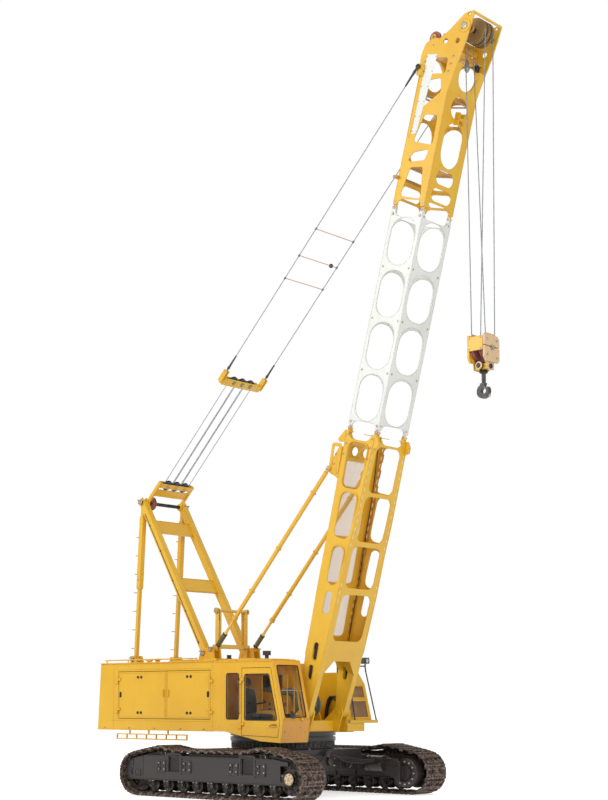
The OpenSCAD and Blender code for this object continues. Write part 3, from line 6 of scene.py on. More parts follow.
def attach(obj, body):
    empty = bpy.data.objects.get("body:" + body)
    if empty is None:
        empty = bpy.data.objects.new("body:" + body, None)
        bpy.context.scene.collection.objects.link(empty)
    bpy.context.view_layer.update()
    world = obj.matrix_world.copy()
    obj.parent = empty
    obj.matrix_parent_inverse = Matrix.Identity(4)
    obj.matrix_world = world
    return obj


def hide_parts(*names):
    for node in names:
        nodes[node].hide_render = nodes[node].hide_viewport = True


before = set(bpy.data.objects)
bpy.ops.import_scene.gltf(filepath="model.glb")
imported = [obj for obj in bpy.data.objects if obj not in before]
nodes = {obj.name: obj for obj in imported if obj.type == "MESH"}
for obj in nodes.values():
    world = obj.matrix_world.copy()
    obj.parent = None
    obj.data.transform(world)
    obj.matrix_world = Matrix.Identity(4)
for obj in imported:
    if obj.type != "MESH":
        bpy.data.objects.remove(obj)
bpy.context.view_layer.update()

# camera and light

view = {"lens": 68.27, "shift": 0.16, "at": (21.7269, -23.872, 1.9518), "tilt": 6.5043, "yaw": 41.5229}
light = {"key": 3300.0, "fill": 2200.0, "rim": 1000.0, "sky": 0.62}


def setCamera():
    eye = bpy.data.cameras.new("eye")
    eye.lens, eye.shift_y, eye.clip_end = view["lens"], view["shift"], 400
    holder = bpy.data.objects.new("eye", eye)
    bpy.context.scene.collection.objects.link(holder)
    holder.location = view["at"]
    holder.rotation_euler = (math.radians(90 + view["tilt"]), 0, math.radians(view["yaw"]))
    bpy.context.scene.camera = holder


def softBox(name, at, aim, size, power, tint=(1, 1, 1)):
    lamp = bpy.data.lights.new(name, "AREA")
    lamp.shape, lamp.size, lamp.energy, lamp.color = "DISK", size, power, tint
    holder = bpy.data.objects.new(name, lamp)
    bpy.context.scene.collection.objects.link(holder)
    holder.location = at
    holder.rotation_euler = (Vector(aim) - Vector(at)).to_track_quat("-Z", "Y").to_euler()


# small helpers for making pieces

def clear():
    if bpy.context.mode != "OBJECT":
        bpy.ops.object.mode_set(mode="OBJECT")
    bpy.ops.object.select_all(action="DESELECT")


def only(*things):
    clear()
    for thing in things:
        thing.select_set(True)
    bpy.context.view_layer.objects.active = things[0]


def settle(thing, place=None):  # its place goes into its mesh
    only(thing)
    if place is not None:
        thing.matrix_world = place @ thing.matrix_world
    bpy.ops.object.transform_apply(location=True, rotation=True, scale=True)
    return thing


def pick(thing, test, kind="FACE"):  # selects in edit mode by place and normal
    only(thing)
    bpy.ops.object.mode_set(mode="EDIT")
    bpy.ops.mesh.select_mode(type=kind)
    bpy.ops.mesh.select_all(action="DESELECT")
    mesh = bmesh.from_edit_mesh(thing.data)
    if kind == "FACE":
        for face in mesh.faces:
            face.select_set(bool(test(face.calc_center_median(), face.normal)))
    elif kind == "EDGE":
        for edge in mesh.edges:
            edge.select_set(bool(test(edge.verts[0].co, edge.verts[1].co)))
    else:
        for vert in mesh.verts:
            vert.select_set(bool(test(vert.co)))
    mesh.select_flush_mode()
    bmesh.update_edit_mesh(thing.data)


def done(smooth=35):
    thing = bpy.context.view_layer.objects.active
    if bpy.context.mode != "OBJECT":
        bpy.ops.object.mode_set(mode="OBJECT")
    bpy.ops.object.shade_smooth_by_angle(angle=math.radians(smooth))
    return thing


def plate(low, high, edge=0.004, steps=1):  # a plate or block with its edges broken
    clear()
    size = [b - a for a, b in zip(low, high)]
    bpy.ops.mesh.primitive_cube_add(size=1, location=[(a + b) / 2 for a, b in zip(low, high)], scale=size)
    bpy.ops.object.transform_apply(location=True, rotation=True, scale=True)
    editAll()
    bpy.ops.mesh.bevel(offset=min(edge, min(size) * 0.3), segments=steps, affect="EDGES")
    return done()


def applied(thing, kind, **settings):  # a modifier, set and applied
    only(thing)
    held = thing.modifiers.new(kind.lower(), kind)
    for key, value in settings.items():
        setattr(held, key, value)
    bpy.ops.object.modifier_apply(modifier=held.name)


def editAll(kind="VERT"):  # into edit mode with all of it chosen
    bpy.ops.object.mode_set(mode="EDIT")
    bpy.ops.mesh.select_mode(type=kind)
    bpy.ops.mesh.select_all(action="SELECT")


def turnBy(degrees, axis):
    return Matrix.Rotation(math.radians(degrees), 4, axis)


def moveTo(*spot):
    return Matrix.Translation(spot if len(spot) == 3 else spot[0])


def boltsAt(size, axis, spots):  # bolt heads that look along an axis
    return copies(hexBolt(size), [along(axis, spot) for spot in spots])


def along(axis, at=(0, 0, 0)):  # turns +Z to an axis, then moves there
    return moveTo(at) @ Vector(axis).to_track_quat("Z", "Y").to_matrix().to_4x4()


def turned(profile, axis=(0, 1, 0), at=(0, 0, 0), steps=24):  # radius and height pairs, spun into a solid
    clear()
    bpy.ops.mesh.primitive_plane_add(size=0.01)
    editAll()
    bpy.ops.mesh.merge(type="CENTER")
    last = Vector((profile[0][0], 0, profile[0][1]))
    bpy.ops.transform.translate(value=last)
    for radius, height in profile[1:]:
        step = Vector((radius, 0, height)) - last
        bpy.ops.mesh.extrude_region_move(TRANSFORM_OT_translate={"value": step})
        last = last + step
    bpy.ops.mesh.select_all(action="SELECT")
    bpy.ops.mesh.spin(steps=steps, angle=math.tau, center=(0, 0, 0), axis=(0, 0, 1))
    bpy.ops.mesh.select_all(action="SELECT")
    bpy.ops.mesh.remove_doubles(threshold=0.0001)
    bpy.ops.mesh.normals_make_consistent(inside=False)
    thing = done()
    return settle(thing, along(axis, at))


def rod(start, end, radius, sides=10, edge=0.3):  # a round bar with its ends broken
    start, end = Vector(start), Vector(end)
    length = (end - start).length
    rim = min(radius * edge, length * 0.2)
    return turned([(0, 0), (radius - rim, 0), (radius, rim), (radius, length - rim), (radius - rim, length),
            (0, length)], end - start, start, sides)


def tube(points, radius, sides=8, closed=False, bend=0.0):  # a pipe, hose or cable through points
    clear()
    bpy.ops.curve.primitive_nurbs_path_add()
    path = bpy.context.object
    path.location = (0, 0, 0)
    curve = path.data
    curve.splines.clear()
    spline = curve.splines.new("POLY" if not bend else "NURBS")
    spline.points.add(len(points) - 1)
    for held, spot in zip(spline.points, points):
        held.co = (*spot, 1)
    spline.use_cyclic_u, spline.use_endpoint_u, spline.order_u = closed, True, 3
    curve.resolution_u = 6
    curve.bevel_depth, curve.bevel_resolution, curve.use_fill_caps = radius, max(0, sides // 4 - 1), not closed
    bpy.ops.object.convert(target="MESH")
    return done(50)


def roundedPath(corners, radius, steps=5):  # corner points of a closed outline, rounded off
    out = []
    for i, corner in enumerate(corners):
        before, after = Vector(corners[i - 1]), Vector(corners[(i + 1) % len(corners)])
        corner = Vector(corner)
        a, b = (before - corner).normalized(), (after - corner).normalized()
        reach = radius / math.tan(a.angle(b) / 2)
        start, stop = corner + a * reach, corner + b * reach
        for k in range(steps + 1):
            t = k / steps
            out.append(start * (1 - t) ** 2 + corner * 2 * t * (1 - t) + stop * t ** 2)
    return out


def ringPlate(length, width, corner, band, thick):  # a flat frame with round corners, in X and Y, rising from 0
    clear()
    bpy.ops.mesh.primitive_plane_add(size=1, scale=(1, 1, 1))
    thing = bpy.context.object
    thing.scale = (length, width, 1)
    bpy.ops.object.transform_apply(location=False, rotation=False, scale=True)
    editAll()
    bpy.ops.mesh.bevel(offset=corner, segments=6, affect="VERTICES")
    bpy.ops.mesh.select_all(action="SELECT")
    bpy.ops.mesh.inset(thickness=band)
    bpy.ops.mesh.delete(type="FACE")
    bpy.ops.mesh.select_all(action="SELECT")
    bpy.ops.mesh.extrude_region_move(TRANSFORM_OT_translate={"value": (0, 0, thick)})
    bpy.ops.mesh.select_all(action="SELECT")
    bpy.ops.mesh.normals_make_consistent(inside=False)
    return done()


def hexBolt(size, tall=0.55):  # a bolt head on its washer, standing on Z = 0
    clear()
    bpy.ops.mesh.primitive_cylinder_add(vertices=6, radius=size / 2, depth=size * tall,
            location=(0, 0, size * tall / 2 + size * 0.08))
    thing = bpy.context.object
    settle(thing)
    pick(thing, lambda c, n: n.z > 0.9)
    bpy.ops.mesh.inset(thickness=size * 0.1)
    bpy.ops.transform.translate(value=(0, 0, size * 0.07))
    done()
    washer = turned([(0, 0), (size * 0.66, 0), (size * 0.66, size * 0.1), (0, size * 0.1)], (0, 0, 1), steps=10)
    return joined("bolt", [thing, washer])


def copies(thing, places, keep=False):  # one copy with its own mesh at each place
    made = []
    for place in places:
        twin = thing.copy()
        twin.data = thing.data.copy()
        bpy.context.scene.collection.objects.link(twin)
        twin.data.transform(place)
        made.append(twin)
    if not keep:
        bpy.data.objects.remove(thing)
    return made


def joined(name, things):
    only(*things)
    if len(things) > 1:
        bpy.ops.object.join()
    thing = bpy.context.view_layer.objects.active
    thing.name = thing.data.name = name
    return thing


def finished(name, things, finish, body, replacing=(), place=None):  # joins, paints and hangs a piece on its body
    thing = joined(name, list(things))
    thing.data.materials.clear()
    thing.data.materials.append(finish)
    settle(thing, place)
    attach(thing, body)
    if replacing:
        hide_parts(*replacing)
    return thing


def mirroredY(things):  # the same pieces on the other side of the middle plane
    out = list(things)
    for twin in copies(joined("pair", things), [Matrix.Scale(-1, 4, (0, 1, 0))], keep=True):
        only(twin)
        editAll()
        bpy.ops.mesh.flip_normals()
        done()
        out = [bpy.data.objects["pair"], twin]
    return [joined("pair", out)]


# finishes

def fromHex(code):  # sRGB hex to a linear colour
    parts = [int(code[i:i + 2], 16) / 255 for i in (1, 3, 5)]
    return [p / 12.92 if p <= 0.04045 else ((p + 0.055) / 1.055) ** 2.4 for p in parts] + [1]


# the output that is used, where it isn't the first
outputOf = {"Mix": 2, "TexVoronoi": "Distance", "TexWave": "Fac", "VectorMath": "Value", "TexCoord": "Object",
        "NewGeometry": "Normal", "SeparateXYZ": "Z"}


def node(tree, kind, settings=None, links=None):  # a node with its settings and links
    made = tree.nodes.new("ShaderNode" + kind)
    for key, value in (settings or {}).items():
        if isinstance(key, int) or key in made.inputs:
            made.inputs[key].default_value = value
        else:
            setattr(made, key, value)
    for key, socket in (links or {}).items():
        tree.links.new(socket, made.inputs[key])
    return made


def add(tree, kind, settings=None, links=None):  # the same, but gives its output
    return node(tree, kind, settings, links).outputs[outputOf.get(kind, 0)]


def noise(tree, place, scale, detail, roughness=0.5):
    return add(tree, "TexNoise", {"Scale": scale, "Detail": detail, "Roughness": roughness}, {"Vector": place})


def maths(tree, operation, first, second, clamp=False):
    settings, links = {"operation": operation, "use_clamp": clamp}, {0: first}
    (settings if isinstance(second, (int, float)) else links)[1] = second
    return add(tree, "Math", settings, links)


def bump(tree, height, strength, distance, normal=None):
    links = {"Height": height} if normal is None else {"Height": height, "Normal": normal}
    return add(tree, "Bump", {"Strength": strength, "Distance": distance}, links)


def mixed(tree, share, first, second):  # two colours, each a hex code or a socket
    settings, links = {"data_type": "RGBA"}, {0: share}
    for key, colour in ((6, first), (7, second)):
        if isinstance(colour, str):
            settings[key] = fromHex(colour)
        else:
            links[key] = colour
    return add(tree, "Mix", settings, links)


def ramp(tree, socket, stops):
    made = node(tree, "ValToRGB", links={"Fac": socket})
    bar = made.color_ramp.elements
    while len(bar) < len(stops):
        bar.new(0.5)
    for held, (spot, code) in zip(bar, stops):
        held.position = spot
        held.color = fromHex(code) if isinstance(code, str) else (code, code, code, 1)
    return made.outputs["Color"]


def drive(tree, shader, key, value, low, high):  # a value of 0 to 1, spread over low to high
    tree.links.new(add(tree, "MapRange", {"To Min": low, "To Max": high}, {"Value": value}), shader.inputs[key])


def newFinish(name, **settings):
    made = bpy.data.materials.new(name)
    made.use_nodes = True
    tree = made.node_tree
    shader = tree.nodes["Principled BSDF"]
    for key, value in settings.items():
        shader.inputs[key.replace("_", " ")].default_value = value
    place = add(tree, "TexCoord")
    return made, tree, shader, place


def enamel(name, coat, faded, dirt, rough=0.34, grime=0.35, chip="#4A3B2A", chips=0.5, low=0.0, sag=0.0):
    # sprayed enamel on plate: slow fading, orange peel, dust low down and in streaks, chips at the edges
    made, tree, shader, place = newFinish(name, Coat_Weight=0.25, Coat_Roughness=0.18)
    broad = noise(tree, place, 0.9, 5, 0.6)
    body = mixed(tree, ramp(tree, broad, [(0.38, 0.0), (0.72, 1.0)]), coat, faded)
    streakMap = add(tree, "Mapping", {"Scale": (7, 7, 0.55)}, {"Vector": place})
    streaks = noise(tree, streakMap, 1.0, 6, 0.7)
    specks = noise(tree, place, 38, 4, 0.7)
    height = add(tree, "SeparateXYZ", {}, {"Vector": place})
    lowDown = add(tree, "MapRange", {"From Min": low, "From Max": low + 1.6, "To Min": 1.0, "To Max": 0.25},
            {"Value": height})
    patch = maths(tree, "MULTIPLY", ramp(tree, streaks, [(0.5, 0.0), (0.78, 1.0)]), lowDown)
    fine = maths(tree, "MULTIPLY", ramp(tree, specks, [(0.56, 0.0), (0.74, 1.0)]), 0.5)
    dusty = maths(tree, "ADD", patch, fine, True)
    dusted = maths(tree, "MULTIPLY", dusty, grime)
    soiled = mixed(tree, dusted, body, dirt)
    # worn edges, where the rounded normal leaves the flat one
    softened = add(tree, "Bevel", {"samples": 4, "Radius": 0.012})
    flat = add(tree, "NewGeometry")
    same = add(tree, "VectorMath", {"operation": "DOT_PRODUCT"}, {0: softened, 1: flat})
    edge = add(tree, "MapRange", {"From Min": 0.99, "From Max": 0.82}, {"Value": same})
    chipped = maths(tree, "MULTIPLY", edge, ramp(tree, specks, [(0.47, 0.0), (0.6, 1.0)]))
    worn = maths(tree, "MULTIPLY", chipped, chips)
    final = mixed(tree, worn, soiled, chip)
    tree.links.new(final, shader.inputs["Base Color"])
    drive(tree, shader, "Roughness", dusty, rough, min(0.9, rough + 0.35))
    peel = noise(tree, place, 260, 2)
    dents = noise(tree, place, 2.2, 1)
    skin = bump(tree, peel, 0.06, 0.002, softened)
    panel = bump(tree, dents, 0.12, 0.02 + sag, skin)
    tree.links.new(panel, shader.inputs["Normal"])
    return made


def wornMetal(name, dark, bright, rough=(0.32, 0.6), metal=1.0, grain=28, polish=0.5, brushed=(1, 1, 1)):
    # bare or worn steel: bright where it rubs, dull and dark in the hollows
    made, tree, shader, place = newFinish(name, Metallic=metal)
    stretched = add(tree, "Mapping", {"Scale": brushed}, {"Vector": place})
    cloud = noise(tree, stretched, grain, 6, 0.65)
    softened = add(tree, "Bevel", {"samples": 4, "Radius": 0.008})
    flat = add(tree, "NewGeometry")
    same = add(tree, "VectorMath", {"operation": "DOT_PRODUCT"}, {0: softened, 1: flat})
    edge = add(tree, "MapRange", {"From Min": 0.995, "From Max": 0.8}, {"Value": same})
    rub = add(tree, "MapRange", {"From Min": 0.42, "From Max": 0.66, "To Max": polish}, {"Value": cloud})
    shine = maths(tree, "MAXIMUM", edge, rub)
    colour = mixed(tree, shine, dark, bright)
    tree.links.new(colour, shader.inputs["Base Color"])
    drive(tree, shader, "Roughness", shine, rough[1], rough[0])
    pits = noise(tree, stretched, grain * 6, 3)
    skin = bump(tree, pits, 0.25, 0.002, softened)
    tree.links.new(skin, shader.inputs["Normal"])
    return made


def wireRope(name, lean, thick, dark="#3D4041", pale="#9A9D9B", aboutX=0.0):
    # steel rope: six strands laid round, a strand every rope's thickness, oil in the grooves
    made, tree, shader, place = newFinish(name, Metallic=0.75)
    level = add(tree, "Mapping", {"Rotation": (aboutX, lean, 0)}, {"Vector": place})
    lay = add(tree, "Mapping", {"Scale": (1 / thick, 0.8 / thick, 0.8 / thick)}, {"Vector": level})
    strands = add(tree, "TexWave", {"wave_type": "BANDS", "bands_direction": "DIAGONAL", "Scale": 0.55,
            "Distortion": 0.0}, {"Vector": lay})
    cloud = noise(tree, place, 14, 4)
    blend = maths(tree, "MULTIPLY", strands, cloud)
    colour = ramp(tree, blend, [(0.05, dark), (0.6, pale)])
    tree.links.new(colour, shader.inputs["Base Color"])
    drive(tree, shader, "Roughness", strands, 0.62, 0.38)
    grooves = bump(tree, strands, 0.8, thick * 0.2)
    tree.links.new(grooves, shader.inputs["Normal"])
    return made


def mouldedSkin(name, colour, second, rough=0.5, grain=420, deep=0.4, distance=0.0008, sheen=0.0):
    # rubber, vinyl or moulded plastic: fine leather-like grain, duller where it is handled
    made, tree, shader, place = newFinish(name, Sheen_Weight=sheen)
    cells = add(tree, "TexVoronoi", {"Scale": grain}, {"Vector": place})
    cloud = noise(tree, place, 9, 5)
    tone = mixed(tree, ramp(tree, cloud, [(0.35, 0.0), (0.7, 1.0)]), colour, second)
    tree.links.new(tone, shader.inputs["Base Color"])
    drive(tree, shader, "Roughness", cloud, rough - 0.08, rough + 0.14)
    skin = bump(tree, cells, deep, distance)
    tree.links.new(skin, shader.inputs["Normal"])
    return made


def safetyGlass(name, tint, dust="#B9B3A0"):
    # tinted pane: nearly clear, with a film of dust that gathers in patches
    made, tree, shader, place = newFinish(name, IOR=1.5)
    film = noise(tree, place, 3.5, 6, 0.65)
    haze = ramp(tree, film, [(0.4, 0.0), (0.85, 0.5)])
    tone = mixed(tree, haze, tint, dust)
    tree.links.new(tone, shader.inputs["Base Color"])
    drive(tree, shader, "Roughness", haze, 0.03, 0.2)
    drive(tree, shader, "Alpha", haze, 0.07, 0.2)
    return made


def pressedGlass(name, colour, glow=0.0):
    # lamp lens: ribbed pressed glass over a bright reflector
    made, tree, shader, place = newFinish(name, Coat_Weight=1.0)
    ribs = add(tree, "TexWave", {"Scale": 42, "bands_direction": "Z"}, {"Vector": place})
    cloud = noise(tree, place, 30, 3)
    both = maths(tree, "MULTIPLY", ribs, cloud)
    tree.links.new(ramp(tree, both, [(0.0, "#8F948F"), (0.5, colour)]), shader.inputs["Base Color"])
    drive(tree, shader, "Roughness", cloud, 0.12, 0.3)
    skin = bump(tree, ribs, 0.6, 0.002)
    tree.links.new(skin, shader.inputs["Normal"])
    return made


def paleFloor():
    # studio floor: white to the eye, still dark enough under the tracks to keep their shadow
    made, tree, shader, place = newFinish("studioFloor", Roughness=0.9)
    cloud = noise(tree, place, 0.4, 3)
    tree.links.new(ramp(tree, cloud, [(0.2, "#E9E9E8"), (0.8, "#F1F1F0")]), shader.inputs["Base Color"])
    path = node(tree, "LightPath")
    seen = maths(tree, "MAXIMUM", path.outputs["Is Camera Ray"], path.outputs["Is Glossy Ray"])
    through = maths(tree, "MAXIMUM", seen, path.outputs["Is Transmission Ray"])
    amount = maths(tree, "MULTIPLY", through, 0.6)
    glow = add(tree, "Emission", {"Color": (1, 1, 1, 1)}, {"Strength": amount})
    both = add(tree, "AddShader", {}, {0: shader.outputs[0], 1: glow})
    tree.links.new(both, tree.nodes["Material Output"].inputs["Surface"])
    return made


def setStudio():
    clear()
    bpy.ops.mesh.primitive_grid_add(x_subdivisions=8, y_subdivisions=8, size=400)
    floor = bpy.context.object
    floor.name = "floor"
    editAll()
    bpy.ops.mesh.subdivide(number_cuts=1)
    bpy.ops.object.mode_set(mode="OBJECT")
    floor.data.materials.append(paleFloor())
    softBox("keyLight", (-6, -26, 17), (0, 0, 6), 15, light["key"], (1, 0.99, 0.97))
    softBox("fillLight", (26, -12, 12), (1, 0, 6), 14, light["fill"], (0.97, 0.98, 1))
    softBox("rimLight", (-20, 16, 22), (0, 0, 7), 12, light["rim"])
    world = bpy.context.scene.world or bpy.data.worlds.new("studio")
    bpy.context.scene.world = world
    world.use_nodes = True
    tree = world.node_tree
    back = tree.nodes["Background"]
    back.inputs["Color"].default_value = (1, 1, 1, 1)
    path = node(tree, "LightPath").outputs
    seen = maths(tree, "MAXIMUM", path["Is Camera Ray"], path["Is Transmission Ray"])
    level = add(tree, "MapRange", {"To Min": light["sky"], "To Max": 1.0}, {"Value": seen})
    tree.links.new(level, back.inputs["Strength"])
    bpy.context.scene.view_settings.view_transform = "Standard"


setCamera()
setStudio()
print("camera, light and floor set")

yellow = enamel("yellowEnamel", "#E7B41C", "#DFA81A", "#9C7A35", rough=0.33, grime=0.26)
slotCoat = enamel("paleSlotEnamel", "#F6E7BE", "#EBD9A8", "#A08F66", rough=0.5, grime=0.25)
tanCoat = enamel("tanEnamel", "#D9A98A", "#CB9878", "#8A6A52", rough=0.5, grime=0.4)
oliveYellow = enamel("oliveYellowEnamel", "#B79F3C", "#A28C36", "#6B5E34", rough=0.45, grime=0.4)
yellowPale = enamel("sunFadedYellowEnamel", "#E8BE58", "#DDB04A", "#9C7F45", rough=0.4, grime=0.3)
yellowBoom = enamel("yellowBoomEnamel", "#E8B72A", "#E0AB24", "#8A6E35", rough=0.36, grime=0.28, chips=0.6, low=1.5)
yellowCab = enamel("yellowCabEnamel", "#E8B21A", "#E0A616", "#A98440", rough=0.26, grime=0.16)
# a darker orange for the cab's lower front faces: painted shade
shadedCabFront = enamel("paintedShadeCabFrontEnamel", "#D8950A", "#CE8B08", "#96702E", rough=0.26, grime=0.14)
lining = enamel("cabLiningEnamel", "#F3B534", "#E8A62C", "#94702F", rough=0.5, grime=0.25)
white = enamel("whiteEnamel", "#E9EAE5", "#DEDFD8", "#9A927C", rough=0.36, grime=0.4, chip="#6B5B45", low=6.0)
frameCoat = enamel("brownFrameEnamel", "#1F1817", "#261E1C", "#4A3D34", rough=0.5, grime=0.5, chip="#A08C7D", chips=0.8,
        low=0.0)
blackCoat = enamel("blackEnamel", "#1D1B1A", "#262322", "#5C5248", rough=0.42, grime=0.4, chip="#8B8378")
# a shaded brown for parts seen deep inside the boom: painted shade
insideShade = enamel("shadedBrownEnamel", "#C08A3A", "#A87530", "#5E4526", rough=0.5, grime=0.6)
sheaveSteel = wornMetal("wornSheaveSteel", "#8A6C40", "#C8AE7C", rough=(0.35, 0.6), metal=0.3, grain=70, polish=0.5)
springCoat = enamel("oliveSpringEnamel", "#6B6A45", "#5B5A3A", "#3E3A28", rough=0.5, grime=0.5)
palePins = wornMetal("pinkishPinSteel", "#A58C80", "#DCCDC2", rough=(0.3, 0.55), metal=0.5, grain=40, polish=0.6)
redCoat = enamel("redPrimer", "#A9655B", "#8F4A42", "#5E4A40", rough=0.5, grime=0.45, chip="#C9B9A8")
blueCoat = enamel("blueBlackEnamel", "#1E2740", "#27304A", "#5B5B58", rough=0.38, grime=0.35, chip="#A7A49B")
paleCoat = enamel("paleBeigeEnamel", "#DDBE92", "#D2AE7E", "#8D7550", rough=0.42, grime=0.35, chip="#8C6A58")
greenCoat = enamel("greyGreenEnamel", "#6E7D70", "#617064", "#4B4A3E", rough=0.45, grime=0.5)
shoeSteel = wornMetal("wornShoeSteel", "#2C2320", "#A48E80", rough=(0.38, 0.72), metal=0.55, grain=16, polish=0.75)
rollerSteel = wornMetal("rollerSteel", "#1F1B1A", "#8C8078", rough=(0.3, 0.65), metal=0.7, grain=12, polish=0.45)
pinSteel = wornMetal("zincPinSteel", "#8C8781", "#D9D3CB", rough=(0.25, 0.5), grain=40, polish=0.7)
darkSteel = wornMetal("oiledSteel", "#2B2927", "#77726B", rough=(0.28, 0.55), metal=0.85, grain=20, polish=0.4)
castSteel = wornMetal("engineCasting", "#4A4F50", "#8D9292", rough=(0.35, 0.7), metal=0.6, grain=30, polish=0.4)
netWire = enamel("yellowNetWire", "#EDC272", "#E2B562", "#A98F58", rough=0.5, grime=0.3)
galvanised = wornMetal("galvanisedWire", "#7C807E", "#B9BDB9", rough=(0.35, 0.55), grain=60, polish=0.6)
# near-black rubber for seals, also used for the black sheets of painted shade in open beam ends and hand holes
rubberAndShade = mouldedSkin("sealRubberAndShade", "#161514", "#211F1E", rough=0.62, grain=300)
hoseRubber = mouldedSkin("hoseRubber", "#1B1A1A", "#2A2827", rough=0.5, grain=180, deep=0.5)
paleHose = mouldedSkin("greyHoseSleeve", "#A9B0AC", "#8E9591", rough=0.5, grain=180)
vinyl = mouldedSkin("seatVinyl", "#1C1B1D", "#29272A", rough=0.48, grain=520, deep=0.5, sheen=0.15)
plastic = mouldedSkin("consolePlastic", "#2A2826", "#34312E", rough=0.5, grain=600, deep=0.3)
whitePlastic = mouldedSkin("whiteFanPlastic", "#D9D9D2", "#C4C4BC", rough=0.4, grain=500, deep=0.2)
matRubber = mouldedSkin("floorMatRubber", "#211F1E", "#2F2C2A", rough=0.7, grain=90, deep=0.8, distance=0.002)
glass = safetyGlass("tintedGlass", "#2E3B42")
lens = pressedGlass("lampLens", "#F3F1E4")
redLens = pressedGlass("redLampLens", "#B3261A")
luffLean = math.atan2(14.540 - 6.440, 4.170 + 3.740)
boomLean = math.radians(74.7)
luffWire = wireRope("luffingRope", luffLean, 0.022, "#5A5E60", "#B3B7B8")
pendantWire = wireRope("pendantRope", luffLean, 0.028, "#7D8183", "#B9BCBD")
hoistWire = wireRope("hoistRope", math.pi / 2, 0.02, "#6B6E6F", "#B9BCBB")
drumWire = wireRope("drumRope", 0.0, 0.02, aboutX=math.pi / 2)


def wear(node, base, *others):  # a finish for a CAD node, and others where a test on place holds
    thing = nodes[node]
    for i, held in enumerate([base] + [finish for _, finish in others]):
        if i < len(thing.data.materials):
            thing.data.materials[i] = held
        else:
            thing.data.materials.append(held)
    while len(thing.data.materials) > 1 + len(others):
        thing.data.materials.pop()
    for face in thing.data.polygons:
        face.material_index = 0
        for i, (test, _) in enumerate(others):
            if test(face.center):
                face.material_index = i + 1


foot = Vector((1.150, 0, 1.720))
boomTurn = moveTo(foot) @ Matrix.Rotation(-boomLean, 4, "Y")  # boom lying along X, to its place
ropeTurn = moveTo(-3.740, 0, 6.440) @ Matrix.Rotation(-luffLean, 4, "Y")
stopLean = math.atan2(6.670 - 3.060, 1.778 + 1.435)
stopTurn = moveTo(-1.435, 0, 3.060) @ Matrix.Rotation(-stopLean, 4, "Y")
ropeBack, stopBack = ropeTurn.inverted(), stopTurn.inverted()
boomFront, boomRear, boomHalf = 0.295, 0.505, 0.475
insertAt, headAt, sheaveAt = 5.850, 10.360, 14.000


def onStop(c):
    return stopBack @ c


for node in ("house_shell", "counterweight", "door_right_rear", "door_right_front", "door_left_rear", "door_left_front",
        "left_housing", "side_step", "rope_guide"):
    wear(node, yellow)
# the cab's lower front faces get the darker orange of painted shade; the inner faces get the lining
wear("cab_shell", yellowCab, (lambda c: c.x > 1.36 and c.z < 1.75, shadedCabFront),
        (lambda c: c.y > -1.53 and c.y < -0.76 and -0.47 < c.x < 1.36 and 1.2 < c.z < 2.74, lining))
wear("cab_door", yellowCab, (lambda c: c.y > -1.517, lining))
for node in ("cab_glass", "cab_door_glass"):
    wear(node, glass)
wear("cab_controls", lining)
wear("turntable", yellow, (lambda c: c.z < 1.329 and math.hypot(c.x, c.y) < 1.13, blackCoat))
wear("roof_deck", yellow, (lambda c: abs(c.x - 0.316) < 0.1 and c.z > 2.76, blackCoat))
wear("engine", castSteel)
wear("winches", yellow, (lambda c: abs(c.y) < 0.384 or abs(c.y) > 0.422, greenCoat))
wear("handrail", blackCoat, (lambda c: c.z > 2.735 and abs(c.x - 1.04) < 0.07, castSteel))
for node in ("gantry_legs", "gantry_struts", "fixed_block"):
    wear(node, yellowBoom)
wear("gantry_shaft", darkSteel)
wear("gantry_sheaves", redCoat)
for node in ("carbody", "track_frame_right", "track_frame_left", "travel_drives"):
    wear(node, frameCoat)
for node in ("rollers_right", "rollers_left"):
    wear(node, rollerSteel)
for side, y in (("right", -1), ("left", 1)):
    wear("sprocket_" + side, rollerSteel, (lambda c, y=y: y * c.y > 2.1715, paleCoat))
wear("ring_gear", darkSteel)
wear("boom_base", yellowBoom)
wear("boom_insert", white)
wear("boom_head", yellowBoom)
wear("boom_mesh", galvanised)
wear("head_sheaves", sheaveSteel, (lambda c: (Vector((c.x, 0, c.z)) - Vector((5.230, 0, 15.118))).length < 0.053,
        darkSteel))
wear("aux_sheave", redCoat)
wear("stop_rods", yellowBoom, (lambda c: 0.169 < onStop(c).x < 0.545, springCoat),
        (lambda c: onStop(c).x > 0.545, pinSteel))
wear("stop_tubes", yellowBoom)
for node in ("fixed_sheaves", "floating_sheaves"):
    wear(node, blueCoat)
for node in ("luff_ropes", "luff_ropes_middle"):
    wear(node, luffWire)
wear("floating_block", yellowBoom, (lambda c: abs((ropeBack @ c).z) < 0.02 and (ropeBack @ c).x < 3.455, luffWire))
wear("pendants", pendantWire, (lambda c: abs(c.y) < 0.597, yellowBoom),
        (lambda c: (ropeBack @ c - Vector((0, math.copysign(0.612, c.y), 0))).yz.length > 0.0165
        or (ropeBack @ c).x < 3.6, blackCoat))
wear("hoist_ropes", hoistWire)
wear("hook_block", yellowBoom, (lambda c: c.x > 0 and c.x - 5.23 > 0.16 and abs(c.y) < 0.26, paleCoat),
        (lambda c: math.hypot(c.y, c.z - 8.72) < 0.043, darkSteel))
wear("hook_sheaves", redCoat)
wear("hook", blackCoat)
print("finishes on", len(nodes), "nodes")


# tracks

shoe = {"count": 46, "width": 0.663, "wheelX": 2.135, "wheelZ": 0.465, "wheel": 0.365, "carrierX": 1.400,
        "carrierZ": 0.960, "runX": 0.970, "runZ": 0.885, "web": 0.064, "rib": 0.034, "pocket": 0.030, "y": 1.950}


